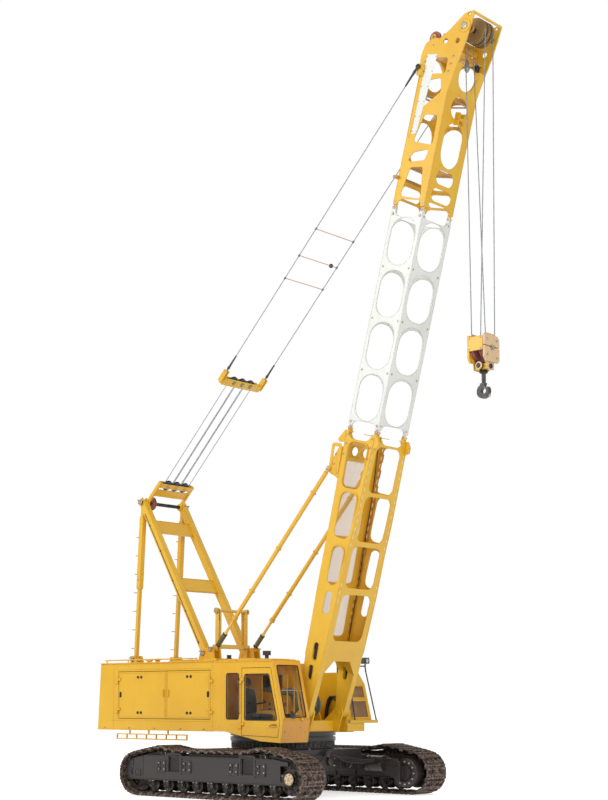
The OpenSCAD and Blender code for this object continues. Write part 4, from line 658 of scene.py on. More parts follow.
def treadPath():
    steps = 24

    def arc(x, first, last):
        out = []
        for i in range(steps + 1):
            a = math.radians(first + (last - first) * i / steps)
            out.append(Vector((x + shoe["wheel"] * math.cos(a), 0, shoe["wheelZ"] + shoe["wheel"] * math.sin(a))))
        return out
    return (arc(shoe["wheelX"], -90, 88) + [Vector((shoe["carrierX"], 0, shoe["carrierZ"])),
            Vector((shoe["runX"], 0, shoe["runZ"])), Vector((-shoe["runX"], 0, shoe["runZ"])),
            Vector((-shoe["carrierX"], 0, shoe["carrierZ"]))] + arc(-shoe["wheelX"], 92, 270))


def makeTracks():
    path = treadPath()
    sides = [(path[(i + 1) % len(path)] - path[i]).length for i in range(len(path))]
    total = sum(sides)
    pitch = total / shoe["count"]

    def spot(s):
        s %= total
        for i, side in enumerate(sides):
            if s <= side:
                return path[i].lerp(path[(i + 1) % len(path)], s / side)
            s -= side
        return path[0]
    clear()
    bpy.ops.mesh.primitive_grid_add(x_subdivisions=6, y_subdivisions=14, size=1)
    thing = bpy.context.object
    thing.scale = (pitch * 1.12, shoe["width"], 1)
    thing.location = (0, 0, shoe["web"])
    settle(thing)
    cellX, cellY = pitch * 1.12 / 6, shoe["width"] / 14
    row = lambda c: int((c.x + pitch * 0.56) / cellX)
    col = lambda c: int((c.y + shoe["width"] / 2) / cellY)
    # two pockets sink below the web, and the hinge ends step down between their teeth
    pick(thing, lambda c, n: row(c) in (2, 3) and col(c) in (3, 4, 9, 10))
    bpy.ops.mesh.extrude_region_move(TRANSFORM_OT_translate={"value": (0, 0, -shoe["pocket"])})
    pick(thing, lambda c, n: n.z > 0.9 and ((row(c) == 0 and col(c) % 2 == 0) or (row(c) == 5 and col(c) % 2 == 1)))
    bpy.ops.mesh.extrude_region_move(TRANSFORM_OT_translate={"value": (0, 0, -shoe["pocket"] * 0.7)})
    # pads and ribs stand out of the web
    pick(thing, lambda c, n: n.z > 0.9 and c.z > shoe["web"] - 0.001 and row(c) in (1, 4) and col(c) not in (0, 13))
    bpy.ops.mesh.extrude_region_move(TRANSFORM_OT_translate={"value": (0, 0, shoe["rib"])})
    bpy.ops.transform.resize(value=(0.985, 1, 1))
    pick(thing, lambda c, n: n.z > 0.9 and abs(c.z - shoe["web"]) < 0.001 and (col(c) in (0, 13, 6, 7))
            and row(c) in (1, 2, 3, 4))
    bpy.ops.mesh.extrude_region_move(TRANSFORM_OT_translate={"value": (0, 0, shoe["rib"] * 0.6)})
    done()
    applied(thing, "SOLIDIFY", thickness=0.026, offset=-1)
    # guide lugs on the inner side, beside the roller path
    pick(thing, lambda c, n: n.z < -0.9 and col(c) in (5, 8) and row(c) in (2, 3))
    bpy.ops.mesh.extrude_region_move(TRANSFORM_OT_translate={"value": (0, 0, -0.036)})
    bpy.ops.transform.resize(value=(0.6, 1, 1))
    bpy.ops.mesh.select_all(action="SELECT")
    bpy.ops.mesh.normals_make_consistent(inside=False)
    done(20)
    places = []
    for k in range(shoe["count"]):
        a, b = spot(k * pitch), spot((k + 1) * pitch)
        way = (b - a).normalized()
        out = Vector((way.z, 0, -way.x))
        turn = Matrix((way, (0, 1, 0), out)).transposed()
        if turn.determinant() < 0:
            turn = Matrix((way, (0, -1, 0), out)).transposed()
        places.append(moveTo((a + b) / 2) @ turn.to_4x4())
    for side, y in (("right", -1), ("left", 1)):
        shoes = copies(thing, [moveTo(0, y * shoe["y"], 0) @ p for p in places], keep=True)
        finished("trackShoes_" + side, shoes, shoeSteel, "undercarriage", ["track_" + side])
    bpy.data.objects.remove(thing)
    print("track shoes", shoe["count"] * 2, "pitch", round(pitch, 3))


makeTracks()

# track frames

frameTrim = {"outer": 2.170, "inner": 1.730, "bottom": 0.335, "top": 0.840, "crossX": 1.030, "pocket": 0.370,
        "rollers": 9, "rollerPitch": 0.425, "rollerZ": 0.2503, "bolt": 0.034}


def makeFrameTrim():
    f = frameTrim
    made, bright = [], []
    # open ends of the cross beams, filled with black sheets: painted shade inside the beams
    dark = [plate((x - 0.150, 2.136, 0.530), (x + 0.150, 2.1425, 0.790), 0.002) for x in (-f["crossX"], f["crossX"])]
    # slotted rear end: three ledges and a spine
    for z in (0.425, 0.487, 0.548):
        made.append(plate((-2.455, 2.162, z), (-2.300, 2.192, z + 0.014), 0.003))
    made.append(plate((-2.318, 2.162, 0.425), (-2.302, 2.190, 0.562), 0.003))
    # pale ledges and ribs of the bracket pockets
    for x in (-f["crossX"], f["crossX"]):
        for way in (-1, 1):
            at = x + way * f["pocket"]
            made.append(plate((at - 0.145, 2.165, 0.500), (at + 0.125, 2.199, 0.520), 0.004))
            made.append(plate((at - 0.060, 2.166, 0.540), (at - 0.040, 2.186, 0.720), 0.003))
            made.append(plate((at - 0.100, 2.166, 0.610), (at + 0.100, 2.182, 0.628), 0.003))
            bright += boltsAt(f["bolt"], (0, 1, 0), [(at + dx, 2.169, z) for dx in (-0.08, 0.08)
                    for z in (0.565, 0.69)])
        # doubler plate round the square opening of the cross beam
        ring = ringPlate(0.44, 0.44, 0.05, 0.045, 0.012)
        made.append(settle(ring, moveTo(x, 2.169, 0.675) @ turnBy(-90, "X")))
    # rolled edges along the top and the bottom of the side plate
    made.append(plate((-1.870, 2.150, f["top"] - 0.018), (1.650, 2.188, f["top"] + 0.004), 0.006))
    made.append(plate((-2.425, 2.150, f["bottom"] - 0.002), (2.195, 2.188, f["bottom"] + 0.018), 0.006))
    made.append(plate((-2.280, 2.150, 0.600), (-2.262, 2.184, 0.780), 0.004))
    made.append(plate((-1.985, 2.160, 0.360), (-1.960, 2.180, 0.810), 0.006))
    # skid rails on the frame's top and guards under the sloping runs
    for y in (1.815, 2.060):
        made.append(plate((-0.960, y, 0.790), (0.960, y + 0.025, 0.888), 0.004))
        for way in (-1, 1):
            guard = plate((-0.345, 0, -0.19), (0.345, 0.014, 0.0), 0.004)
            made.append(settle(guard, moveTo(way * 1.770, y, 0.878) @ turnBy(way * 9.9, "Y")))
            guard = plate((-0.21, 0, -0.16), (0.21, 0.014, 0.0), 0.004)
            made.append(settle(guard, moveTo(way * 1.185, y, 0.908) @ turnBy(way * -9.9, "Y")))
    # track adjuster in the front fork
    bright.append(turned([(0, 0), (0.020, 0), (0.024, 0.004), (0.024, 0.20), (0.036, 0.20), (0.036, 0.235),
            (0.018, 0.24), (0.018, 0.30), (0, 0.30)], (1, 0, 0), (1.640, 2.130, 0.520), 12))
    # roller ends: caps with two bolts each
    cap = turned([(0, 0), (0.058, 0), (0.062, 0.004), (0.062, 0.014), (0.040, 0.020), (0.034, 0.030), (0, 0.032)],
            (0, 1, 0), steps=16)
    spots = [((i - (f["rollers"] - 1) / 2) * f["rollerPitch"], 2.136, f["rollerZ"]) for i in range(f["rollers"])]
    caps = copies(cap, [moveTo(s) for s in spots])
    lug = plate((-0.085, 2.142, 0.300), (0.085, 2.168, 0.345), 0.004)
    made += copies(lug, [moveTo(s[0], 0, 0) for s in spots])
    bright += boltsAt(0.026, (0, 1, 0), [(s[0] + dx, 2.160, s[2] + 0.066) for s in spots for dx in (-0.045, 0.045)])
    # carrier roller caps and their grease pipes
    for x in (-1.4, 1.4):
        caps.append(turned([(0, 0), (0.05, 0), (0.055, 0.006), (0.03, 0.02), (0, 0.022)], (0, 1, 0), (x, 2.138, 0.848),
                14))
        bright.append(tube([(x + 0.10, 2.150, 0.842), (x + 0.10, 2.150, 0.900), (x + 0.06, 2.140, 0.915)], 0.008,
                bend=1))
        bright.append(rod((x + 0.10, 2.150, 0.838), (x + 0.10, 2.150, 0.862), 0.017))
    # idler axle block at the rear
    made.append(plate((-2.235, 2.168, 0.400), (-2.035, 2.186, 0.530), 0.006))
    caps.append(turned([(0, 0), (0.048, 0), (0.052, 0.005), (0.030, 0.016), (0, 0.018)], (0, 1, 0),
            (-2.135, 2.186, 0.465), 16))
    # sprocket hub: a ring of bolts round the pale cover
    bright += boltsAt(0.026, (0, 1, 0), [(2.135 + 0.088 * math.cos(a), 2.1835, 0.465 + 0.088 * math.sin(a))
            for a in [math.radians(i * 60 + 15) for i in range(6)]])
    bright.append(turned([(0.0, 0), (0.036, 0), (0.036, 0.006), (0.022, 0.010), (0, 0.010)], (0, 1, 0),
            (2.135, 2.184, 0.465), 12))
    # inner side: rolled edges and ribs
    for z in (f["top"] - 0.018, f["bottom"]):
        made.append(plate((-1.900, 1.712, z), (1.880, 1.732, z + 0.02), 0.005))
    for x in (-1.7, -0.55, 0.0, 0.55, 1.6):
        made.append(plate((x - 0.010, 1.700, 0.360), (x + 0.010, 1.732, 0.810), 0.004))
    for label, things, finish, slot in (("frameTrim", made, frameCoat, "frame_paint"),
            ("rollerCaps", caps, rollerSteel, "dark_steel"), ("frameBolts", bright, pinSteel, "bare_steel"),
            ("beamEndShadeSheets", dark, rubberAndShade, "frame_paint")):
        pair = mirroredY([joined("side", things)])
        finished(label, pair, finish, "undercarriage")
    print("track frame trim")


makeFrameTrim()


# carbody and drives

def makeCarbodyTrim():
    made, bolts, pipes = [], [], []
    # flange and bolts under the slewing ring
    made.append(turned([(0.90, 0), (1.075, 0), (1.082, 0.006), (1.082, 0.022), (0.90, 0.022)], (0, 0, 1), (0, 0, 0.978),
            64))
    bolts += boltsAt(0.036, (0, 0, 1), [(1.16 * math.cos(a), 1.16 * math.sin(a), 0.9605)
            for a in [math.radians(d) for d in (20, 50, 130, 160, 200, 230, 310, 340)]])
    for x in (-1, 1):
        # gussets on the cross beams and a doubler with bolts
        for y in (-0.95, -0.35, 0.35, 0.95):
            made.append(plate((x * 1.275 - 0.012, y - 0.012, 0.560), (x * 1.275 + 0.012, y + 0.012, 0.800), 0.003))
        made.append(plate((x * 1.182 - 0.010, -0.22, 0.60), (x * 1.182 + 0.010, 0.30, 0.80), 0.004))
        made.append(plate((x * 1.03 - 0.16, -1.45, 0.822), (x * 1.03 + 0.16, -1.39, 0.838), 0.004))
        made.append(plate((x * 1.03 - 0.16, 1.39, 0.822), (x * 1.03 + 0.16, 1.45, 0.838), 0.004))
        bolts += boltsAt(0.03, (x, 0, 0), [(x * 1.192, y, z) for y in (-0.18, 0.26) for z in (0.63, 0.77)])
    # swivel head of the hydraulic lines and the motor covers in front
    made.append(turned([(0, 0), (0.072, 0), (0.078, 0.008), (0.078, 0.03), (0.05, 0.05), (0.03, 0.055), (0, 0.055)],
            (1, 0, 0), (1.24, 0, 0.88), 20))
    made.append(turned([(0, 0), (0.095, 0), (0.098, 0.006), (0.098, 0.02), (0.06, 0.03), (0, 0.034)], (1, 0, 0),
            (1.22, 0.12, 0.72), 20))
    for y in (-1, 1):
        for k in (0, 1, 2):
            pipes.append(tube([(1.26, y * (0.05 + 0.03 * k), 0.86 + 0.02 * k), (1.33, y * (0.10 + 0.03 * k), 0.84),
                    (1.36, y * 0.35, 0.80 - 0.04 * k), (1.36, y * 0.75, 0.76 - 0.04 * k),
                    (1.42, y * 1.02, 0.72 - 0.03 * k), (1.50, y * 1.22, 0.74 - 0.02 * k)], 0.014, bend=1))
        # final drive: rim, bolts and cover
        made.append(turned([(0.18, 0), (0.294, 0), (0.300, 0.008), (0.300, 0.030), (0.27, 0.04), (0.18, 0.045)],
                (0, -y, 0), (2.135, y * 1.455, 0.465), 32))
        bolts += boltsAt(0.032, (0, -y, 0), [(2.135 + 0.235 * math.cos(a), y * 1.4105, 0.465 + 0.235 * math.sin(a))
                for a in [math.tau * i / 12 for i in range(12)]])
        made.append(turned([(0.10, 0), (0.176, 0), (0.182, 0.01), (0.182, 0.04), (0.10, 0.045)], (1, 0, 0),
                (1.62, y * 1.38, 0.645), 24))
        made.append(turned([(0.10, 0), (0.176, 0), (0.182, 0.01), (0.182, 0.03), (0.10, 0.035)], (1, 0, 0),
                (1.26, y * 1.38, 0.645), 24))
        bolts += boltsAt(0.026, (-1, 0, 0), [(1.62, y * 1.38 + 0.160 * math.cos(a), 0.645 + 0.160 * math.sin(a))
                for a in [math.tau * i / 8 for i in range(8)]])
        for z in (0.56, 0.66, 0.74):
            made.append(plate((1.68, y * 1.318 - 0.01, z), (2.05, y * 1.318 + 0.01, z + 0.018), 0.004))
    finished("carbodyTrim", made, frameCoat, "undercarriage")
    finished("carbodyBolts", bolts, pinSteel, "undercarriage")
    finished("travelHoses", pipes, hoseRubber, "undercarriage")
    print("carbody trim")


makeCarbodyTrim()


# house: body line, gutters, locks, vents, grille frame and lamps

house = {"half": 1.550, "floor": 1.330, "roof": 2.770, "lineZ": 1.533,
        "vents": {"door_right_rear": (-2.780, -1), "door_right_front": (-1.255, -1), "door_left_rear": (-2.780, 1),
        "door_left_front": (-1.255, 1)}, "locks": {"door_right_rear": -3.395, "door_right_front": -0.690,
        "door_left_rear": -3.395, "door_left_front": -0.690}}


def makeHouseTrim():
    h = house
    made, dark, bright = [], [], []
    for way in (-1, 1):
        y = way * h["half"]
        # folded body line and the sill below it
        made.append(plate((-3.720, y - 0.006, h["lineZ"] - 0.006), (-0.560, y + 0.006, h["lineZ"] + 0.006), 0.003))
        made.append(plate((-4.120, y - 0.012, h["floor"] - 0.004), (-0.530, y + 0.010, h["floor"] + 0.022), 0.005))
        # roof edge and drip rail over the doors
        made.append(plate((-4.045, y - 0.030, h["roof"] - 0.012), (-0.530, y + 0.012, h["roof"] + 0.010), 0.008))
        made.append(plate((-3.520, y - 0.006, 2.622), (-0.580, y + 0.014, 2.634), 0.004))
        # welded seams between wall panels
        for x in (-3.620, -0.560):
            made.append(plate((x - 0.006, y - 0.004, h["floor"] + 0.03), (x + 0.006, y + 0.004, h["roof"] - 0.02),
                    0.002))
        for x in (-3.9, -3.1, -2.3, -1.5, -0.8):
            bright += boltsAt(0.024, (0, way, 0), [(x, y + way * 0.009, h["floor"] + 0.045)])
    for y in (-1.45, 1.45):
        made.append(plate((-4.134, y - 0.050, 1.60), (-4.108, y + 0.050, 1.70), 0.008))
    # frame round the radiator grille, rear lamps and their guards
    ring = ringPlate(1.34, 1.10, 0.03, 0.05, 0.012)
    made.append(settle(ring, moveTo(-4.092, 0, 2.245) @ turnBy(3.18, "Y") @ turnBy(-90, "Y") @ turnBy(90, "Z")))
    for y in (-1.30, 1.30):
        dark.append(plate((-4.1325, y - 0.10, 1.50), (-4.110, y + 0.10, 1.60), 0.008, 2))
    for x, y in ((-3.4, -0.7), (-3.4, 0.7), (-2.6, -1.2), (-2.6, 1.2)):
        # lifting eyes and vent caps on the roof
        made.append(turned([(0, 0), (0.09, 0), (0.09, 0.012), (0.05, 0.016), (0.05, 0.06), (0.085, 0.065), (0.08, 0.09),
                (0, 0.10)], (0, 0, 1), (x, y, h["roof"]), 18))
    # roof hatches with their folded rims and handles
    for low, high in (((-2.95, -0.44), (-2.53, 0.44)), ((-2.47, -0.44), (-2.05, 0.44))):
        made.append(plate((low[0], low[1], h["roof"] + 0.068), (high[0], high[1], h["roof"] + 0.086), 0.008, 2))
        bright.append(tube([(low[0] + 0.14, -0.06, h["roof"] + 0.084), (low[0] + 0.14, -0.06, h["roof"] + 0.115),
                (low[0] + 0.14, 0.06, h["roof"] + 0.115), (low[0] + 0.14, 0.06, h["roof"] + 0.084)], 0.006))
    # exhaust stack behind the boom stops
    dark.append(turned([(0, 0), (0.060, 0), (0.064, 0.01), (0.064, 0.16), (0.050, 0.17), (0.050, 0.20), (0.056, 0.205),
            (0.056, 0.23), (0.044, 0.23), (0.044, 0.05), (0, 0.05)], (0, 0, 1), (-2.50, 0.92, h["roof"] - 0.01), 20))
    finished("houseTrim", made, yellow, "upper")
    finished("roofPipes", dark, blackCoat, "upper")
    finished("houseBolts", bright, pinSteel, "upper")
    lampPair = [plate((-4.1355, y - 0.085, 1.515), (-4.130, y + 0.085, 1.585), 0.002) for y in (-1.30, 1.30)]
    finished("rearLamps", lampPair, redLens, "upper")
    for door, (x, way) in h["vents"].items():
        y = way * h["half"]
        button = turned([(0, -0.002), (0.030, -0.002), (0.032, 0.002), (0.026, 0.008), (0.018, 0.009), (0.016, 0.003),
                (0, 0.003)], (0, way, 0), steps=16)
        parts = copies(button, [moveTo(x + dx, y + way * 0.006, z) for z in (1.702, 2.462) for dx in (-0.052, 0.052)])
        lockX = h["locks"][door]
        parts.append(plate((lockX - 0.034, y - 0.004, 2.030), (lockX + 0.034, y + 0.004, 2.150), 0.003))
        parts += copies(turned([(0, 0), (0.022, 0), (0.024, 0.003), (0.020, 0.012), (0.008, 0.012), (0.008, 0.006),
                (0, 0.006)], (0, way, 0), steps=14), [moveTo(lockX, y + way * 0.003, z) for z in (2.062, 2.118)])
        finished(door + "_vents", parts, rubberAndShade, door)
        # a pressed stiffening edge round the leaf
        low, high = (-3.43, -1.985) if "rear" in door else (-1.915, -0.66)
        ring = ringPlate(high - low, 0.94, 0.02, 0.006, 0.004)
        edge = settle(ring, moveTo((low + high) / 2, y, 2.080) @ turnBy(-90 * way, "X"))
        finished(door + "_edge", [edge], yellow, door)
    print("house trim")


makeHouseTrim()


# cab: seals, wiper, roof hatch, handles and what is inside

cab = {"side": -1.550, "inner": -0.735, "middle": -1.1425, "sill": (1.400, 1.560), "slope": (-0.2254, 0.9743),
        "seal": 0.011, "doorWindow": [(0.360, 1.570), (1.250, 1.570), (1.020, 2.490), (0.360, 2.490)],
        "rearWindow": [(-0.156, 1.585), (0.188, 1.585), (0.188, 2.510), (-0.156, 2.510)],
        "doorEdge": [(0.270, 1.260), (1.270, 1.230), (1.325, 1.540), (1.075, 2.620), (0.270, 2.620)]}


def onGlass(up, y, out=0.0):  # a point on the windshield's plane
    return Vector((cab["sill"][0] + cab["slope"][0] * up + cab["slope"][1] * out, y, cab["sill"][1]
            + cab["slope"][1] * up - cab["slope"][0] * out))


def makeCabTrim():
    c = cab
    seals, doorSeals, made, bright, dark = [], [], [], [], []
    y = c["side"] - 0.001
    doorSeals.append(tube(roundedPath([(x, y, z) for x, z in c["doorWindow"]], 0.045), c["seal"], 8, True))
    seals.append(tube(roundedPath([(x, y, z) for x, z in c["rearWindow"]], 0.045), c["seal"], 8, True))
    seals.append(tube(roundedPath([(x, y + 0.006, z) for x, z in c["doorEdge"]], 0.03), 0.006, 8, True))
    half = 0.3125
    corners = [onGlass(0.07, c["middle"] - half), onGlass(0.07, c["middle"] + half), onGlass(1.13, c["middle"] + half),
            onGlass(1.13, c["middle"] - half)]
    seals.append(tube(roundedPath(corners, 0.045), c["seal"] + 0.002, 8, True))
    # bar across the windshield between its two panes
    bright.append(tube([onGlass(0.62, c["middle"] - half + 0.01, 0.006),
            onGlass(0.62, c["middle"] + half - 0.01, 0.006)], 0.012))
    # wiper: motor, arm and blade
    made.append(turned([(0, 0), (0.035, 0), (0.038, 0.004), (0.038, 0.030), (0.020, 0.040), (0, 0.042)],
            (0.9743, 0, 0.2254), onGlass(0.03, c["middle"] + 0.17), 14))
    dark.append(tube([onGlass(0.035, c["middle"] + 0.17, 0.035), onGlass(0.10, c["middle"] + 0.175, 0.045),
            onGlass(0.52, c["middle"] + 0.20, 0.030)], 0.007))
    dark.append(tube([onGlass(0.22, c["middle"] + 0.185, 0.018), onGlass(0.50, c["middle"] + 0.197, 0.022),
            onGlass(0.60, c["middle"] + 0.205, 0.018)], 0.006))
    # lower wiper hub seen as a dark cap under the glass
    dark.append(turned([(0, 0), (0.075, 0), (0.080, 0.006), (0.060, 0.020), (0, 0.024)], (0.9743, 0, 0.2254),
            onGlass(0.115, c["middle"] - 0.08, -0.004), 20))
    # roof: overlapping hatch plates, drip edge and two rails
    for k, (x0, x1, rise) in enumerate(((-0.480, 0.060, 0.030), (0.020, 0.560, 0.042), (0.520, 1.060, 0.024))):
        made.append(plate((x0, -1.470, 2.766), (x1, -0.820 + 0.02 * k, 2.766 + rise), 0.007))
        made.append(plate((x0 + 0.05, -1.40, 2.766 + rise - 0.004), (x1 - 0.06, -0.90, 2.766 + rise + 0.010), 0.005))
    made.append(plate((-0.510, -1.562, 2.738), (1.110, -1.542, 2.752), 0.005))
    made.append(plate((1.090, -1.540, 2.755), (1.128, -0.745, 2.772), 0.006))
    # pressed edge under the windshield and the folded lines of the nose
    made.append(tube([onGlass(0.035, -1.535, 0.001), onGlass(0.035, -0.75, 0.001)], 0.007))
    for y in (-1.548, -0.738):
        made.append(tube([(1.345, y, 1.130), (1.402, y, 1.560), (1.121, y, 2.768)], 0.006))
    # grab rail beside the door and a small lock below the glass
    dark.append(tube([(0.215, -1.548, 1.700), (0.215, -1.588, 1.715), (0.215, -1.588, 2.385), (0.215, -1.548, 2.400)],
            0.010))
    bright.append(turned([(0, 0), (0.022, 0), (0.024, 0.004), (0.016, 0.012), (0, 0.012)], (1, 0, -0.13),
            (1.383, -0.98, 1.43), 12))
    for spot in ((1.372, -1.44, 1.34), (1.372, -0.84, 1.34)):
        bright += boltsAt(0.024, (0.99, 0, -0.13), [spot])
    finished("cabSeals", seals, rubberAndShade, "upper")
    finished("cabRoofPlates", made, yellowCab, "upper")
    finished("cabRods", dark, blackCoat, "upper")
    finished("cabBrightParts", bright, pinSteel, "upper")
    # the door's own seal, lock and inner handle
    doorSeals.append(plate((1.105, -1.586, 1.474), (1.235, -1.556, 1.486), 0.004))
    doorSeals.append(turned([(0, 0), (0.018, 0), (0.020, 0.004), (0.014, 0.010), (0, 0.010)], (0, -1, 0),
            (1.065, -1.549, 1.453), 12))
    doorSeals.append(tube([(1.00, -1.515, 1.50), (1.00, -1.480, 1.51), (0.60, -1.480, 1.51), (0.60, -1.515, 1.50)],
            0.010))
    finished("cabDoorSeal", doorSeals, rubberAndShade, "cab_door")


def makeCabInside():
    c = cab
    mid = c["middle"]
    dark, bright, pale, soft = [], [], [], []
    # ribbed floor mats
    mat = plate((-0.30, mid - 0.34, 1.371), (0.745, mid + 0.24, 1.383), 0.004)
    ribs = copies(plate((0.16, mid - 0.32, 1.381), (0.18, mid + 0.22, 1.389), 0.002),
            [moveTo(0.045 * i - 0.4, 0, 0) for i in range(20)])
    finished("cabFloorMats", [mat, plate((0.77, mid - 0.33, 1.191), (1.08, mid + 0.24, 1.203), 0.004)] + ribs,
            matRubber, "upper")
    # dashboard hood, gauges and pedals
    dark.append(plate((1.085, mid - 0.255, 1.585), (1.245, mid + 0.255, 1.625), 0.012, 2))
    dark.append(plate((1.075, mid - 0.16, 1.600), (1.150, mid + 0.16, 1.700), 0.016, 2))
    for y in (-0.10, 0.0, 0.10):
        bright.append(turned([(0, 0), (0.034, 0), (0.036, 0.003), (0.036, 0.010), (0.030, 0.010), (0.030, 0.005),
                (0, 0.005)], (-1, 0, 0.1), (1.077, mid + y, 1.655), 16))
    for y in (-0.14, 0.0, 0.14):
        dark.append(plate((1.00, mid + y - 0.035, 1.24), (1.02, mid + y + 0.035, 1.36), 0.006))
        bright.append(rod((1.015, mid + y, 1.30), (1.11, mid + y, 1.40), 0.009))
    # lever boots, rods and knobs on the side console
    levers = (0.560, 0.640, 0.40)
    cy = mid + 0.300
    for x in levers:
        dark.append(turned([(0, 0), (0.046, 0), (0.044, 0.012), (0.036, 0.018), (0.038, 0.026), (0.028, 0.034),
                (0.030, 0.042), (0.018, 0.056), (0, 0.058)], (0, 0, 1), (x, cy, 1.758), 16))
        dark.append(turned([(0, 0), (0.014, 0), (0.022, 0.012), (0.027, 0.034), (0.022, 0.054), (0.010, 0.062),
                (0, 0.063)], (0, 0, 1), (x, cy, 1.918 if x > 0.5 else 1.86), 16))
    bright.append(rod((0.40, cy, 1.80), (0.40, cy, 1.87), 0.010))
    dark.append(plate((0.165, cy - 0.034, 1.758), (0.350, cy + 0.038, 1.776), 0.006))
    for k in range(6):
        bright.append(turned([(0, 0), (0.009, 0), (0.010, 0.003), (0.008, 0.012), (0, 0.013)], (0, 0, 1),
                (0.19 + 0.028 * k, cy + 0.002, 1.775), 10))
    # round fan on the rear pillar: guard rings, hub, stalk
    fanAt = Vector((0.62, mid + 0.255, 2.230))
    for r in (0.030, 0.060, 0.090, 0.105):
        pale.append(tube([(fanAt.x + r * math.cos(a), fanAt.y - 0.035 + r * 0.1, fanAt.z + r * math.sin(a))
                for a in [math.tau * i / 24 for i in range(24)]], 0.003, 8, True))
    pale.append(turned([(0, 0), (0.100, 0), (0.106, 0.012), (0.098, 0.045), (0.060, 0.060), (0, 0.064)], (0, 1, 0),
            fanAt + Vector((0, -0.022, 0)), 24))
    pale.append(rod(fanAt + Vector((0, 0.03, -0.02)), fanAt + Vector((0, 0.06, -0.16)), 0.012))
    # rails and posts of the rear wall, seen through the glass
    for x in (0.455, 0.83, 1.02):
        soft.append(plate((x - 0.012, c["inner"] - 0.062, 1.48), (x + 0.012, c["inner"] - 0.034, 2.62), 0.006))
    soft.append(plate((0.10, c["inner"] - 0.060, 1.665), (1.17, c["inner"] - 0.034, 1.690), 0.006))
    finished("cabInnerPosts", soft, lining, "upper")
    finished("cabFan", pale, whitePlastic, "upper")
    finished("cabPanels", dark, plastic, "upper")
    finished("cabGauges", bright, pinSteel, "upper")


def padShape(low, high, crown=0.45, channels=()):  # a padded cushion that fills its box, with sewn channels across it
    clear()
    size = Vector(high) - Vector(low)
    bpy.ops.mesh.primitive_cube_add(size=1)
    thing = bpy.context.object
    editAll()
    bpy.ops.mesh.subdivide(number_cuts=9, smoothness=crown)
    for at in channels:
        pick(thing, lambda a, b: abs(a.y - at) < 0.02 and abs(b.y - at) < 0.02, "EDGE")
        bpy.ops.mesh.bevel(offset=0.012, segments=2, affect="EDGES")
        pick(thing, lambda v: abs(v.y - at) < 0.006, "VERT")
        bpy.ops.transform.resize(value=(0.94, 1, 0.90))
    done(60)
    spread = [max(v.co[i] for v in thing.data.vertices) - min(v.co[i] for v in thing.data.vertices) for i in range(3)]
    thing.scale = [size[i] / spread[i] for i in range(3)]
    thing.location = (Vector(low) + Vector(high)) / 2
    settle(thing)
    applied(thing, "SUBSURF", levels=1, render_levels=1)
    return done(80)


def makeSeat():
    mid = cab["middle"]
    lean = moveTo(0.160, mid, 1.680) @ turnBy(-8, "Y")
    cushion = padShape((0.125, mid - 0.235, 1.590), (0.605, mid + 0.235, 1.700), 0.30, (-0.26, 0.26))
    back = padShape((-0.105, -0.225, 0.010), (-0.005, 0.225, 0.550), 0.30, (-0.26, 0.26))
    rest = padShape((-0.088, -0.125, 0.590), (-0.017, 0.125, 0.755), 0.40)
    settle(back, lean)
    settle(rest, lean)
    for name, pad in (("seatCushion", cushion), ("seatBack", back), ("headRest", rest)):
        piece = finished(name, [pad], vinyl, "upper", ["cab_seat"])
    frameParts = [plate((0.17, mid - 0.20, 1.555), (0.57, mid + 0.20, 1.592), 0.010),
            turned([(0, 0), (0.14, 0), (0.145, 0.006), (0.145, 0.018), (0.070, 0.030), (0.062, 0.05), (0.066, 0.09),
            (0.058, 0.11), (0.062, 0.15), (0.09, 0.188), (0, 0.188)], (0, 0, 1), (0.35, mid, 1.3705), 20)]
    for y in (-0.225, 0.225):
        arm = plate((-0.02, y - 0.022, 0.20), (0.235, y + 0.022, 0.235), 0.014, 2)
        frameParts.append(settle(arm, lean))
    for y in (-0.06, 0.06):
        frameParts.append(settle(rod((-0.052, y, 0.54), (-0.052, y, 0.62), 0.007), lean))
    finished("seatFrame", frameParts, plastic, "upper", ["cab_seat"])


makeCabTrim()
makeCabInside()
makeSeat()
print("cab trim, inside and seat")


# left housing: meshed grilles in their frames, pipes and lamp

leftHouse = {"low": (1.150, 1.550), "high": (0.960, 2.310), "inner": 0.780, "outer": 1.550}


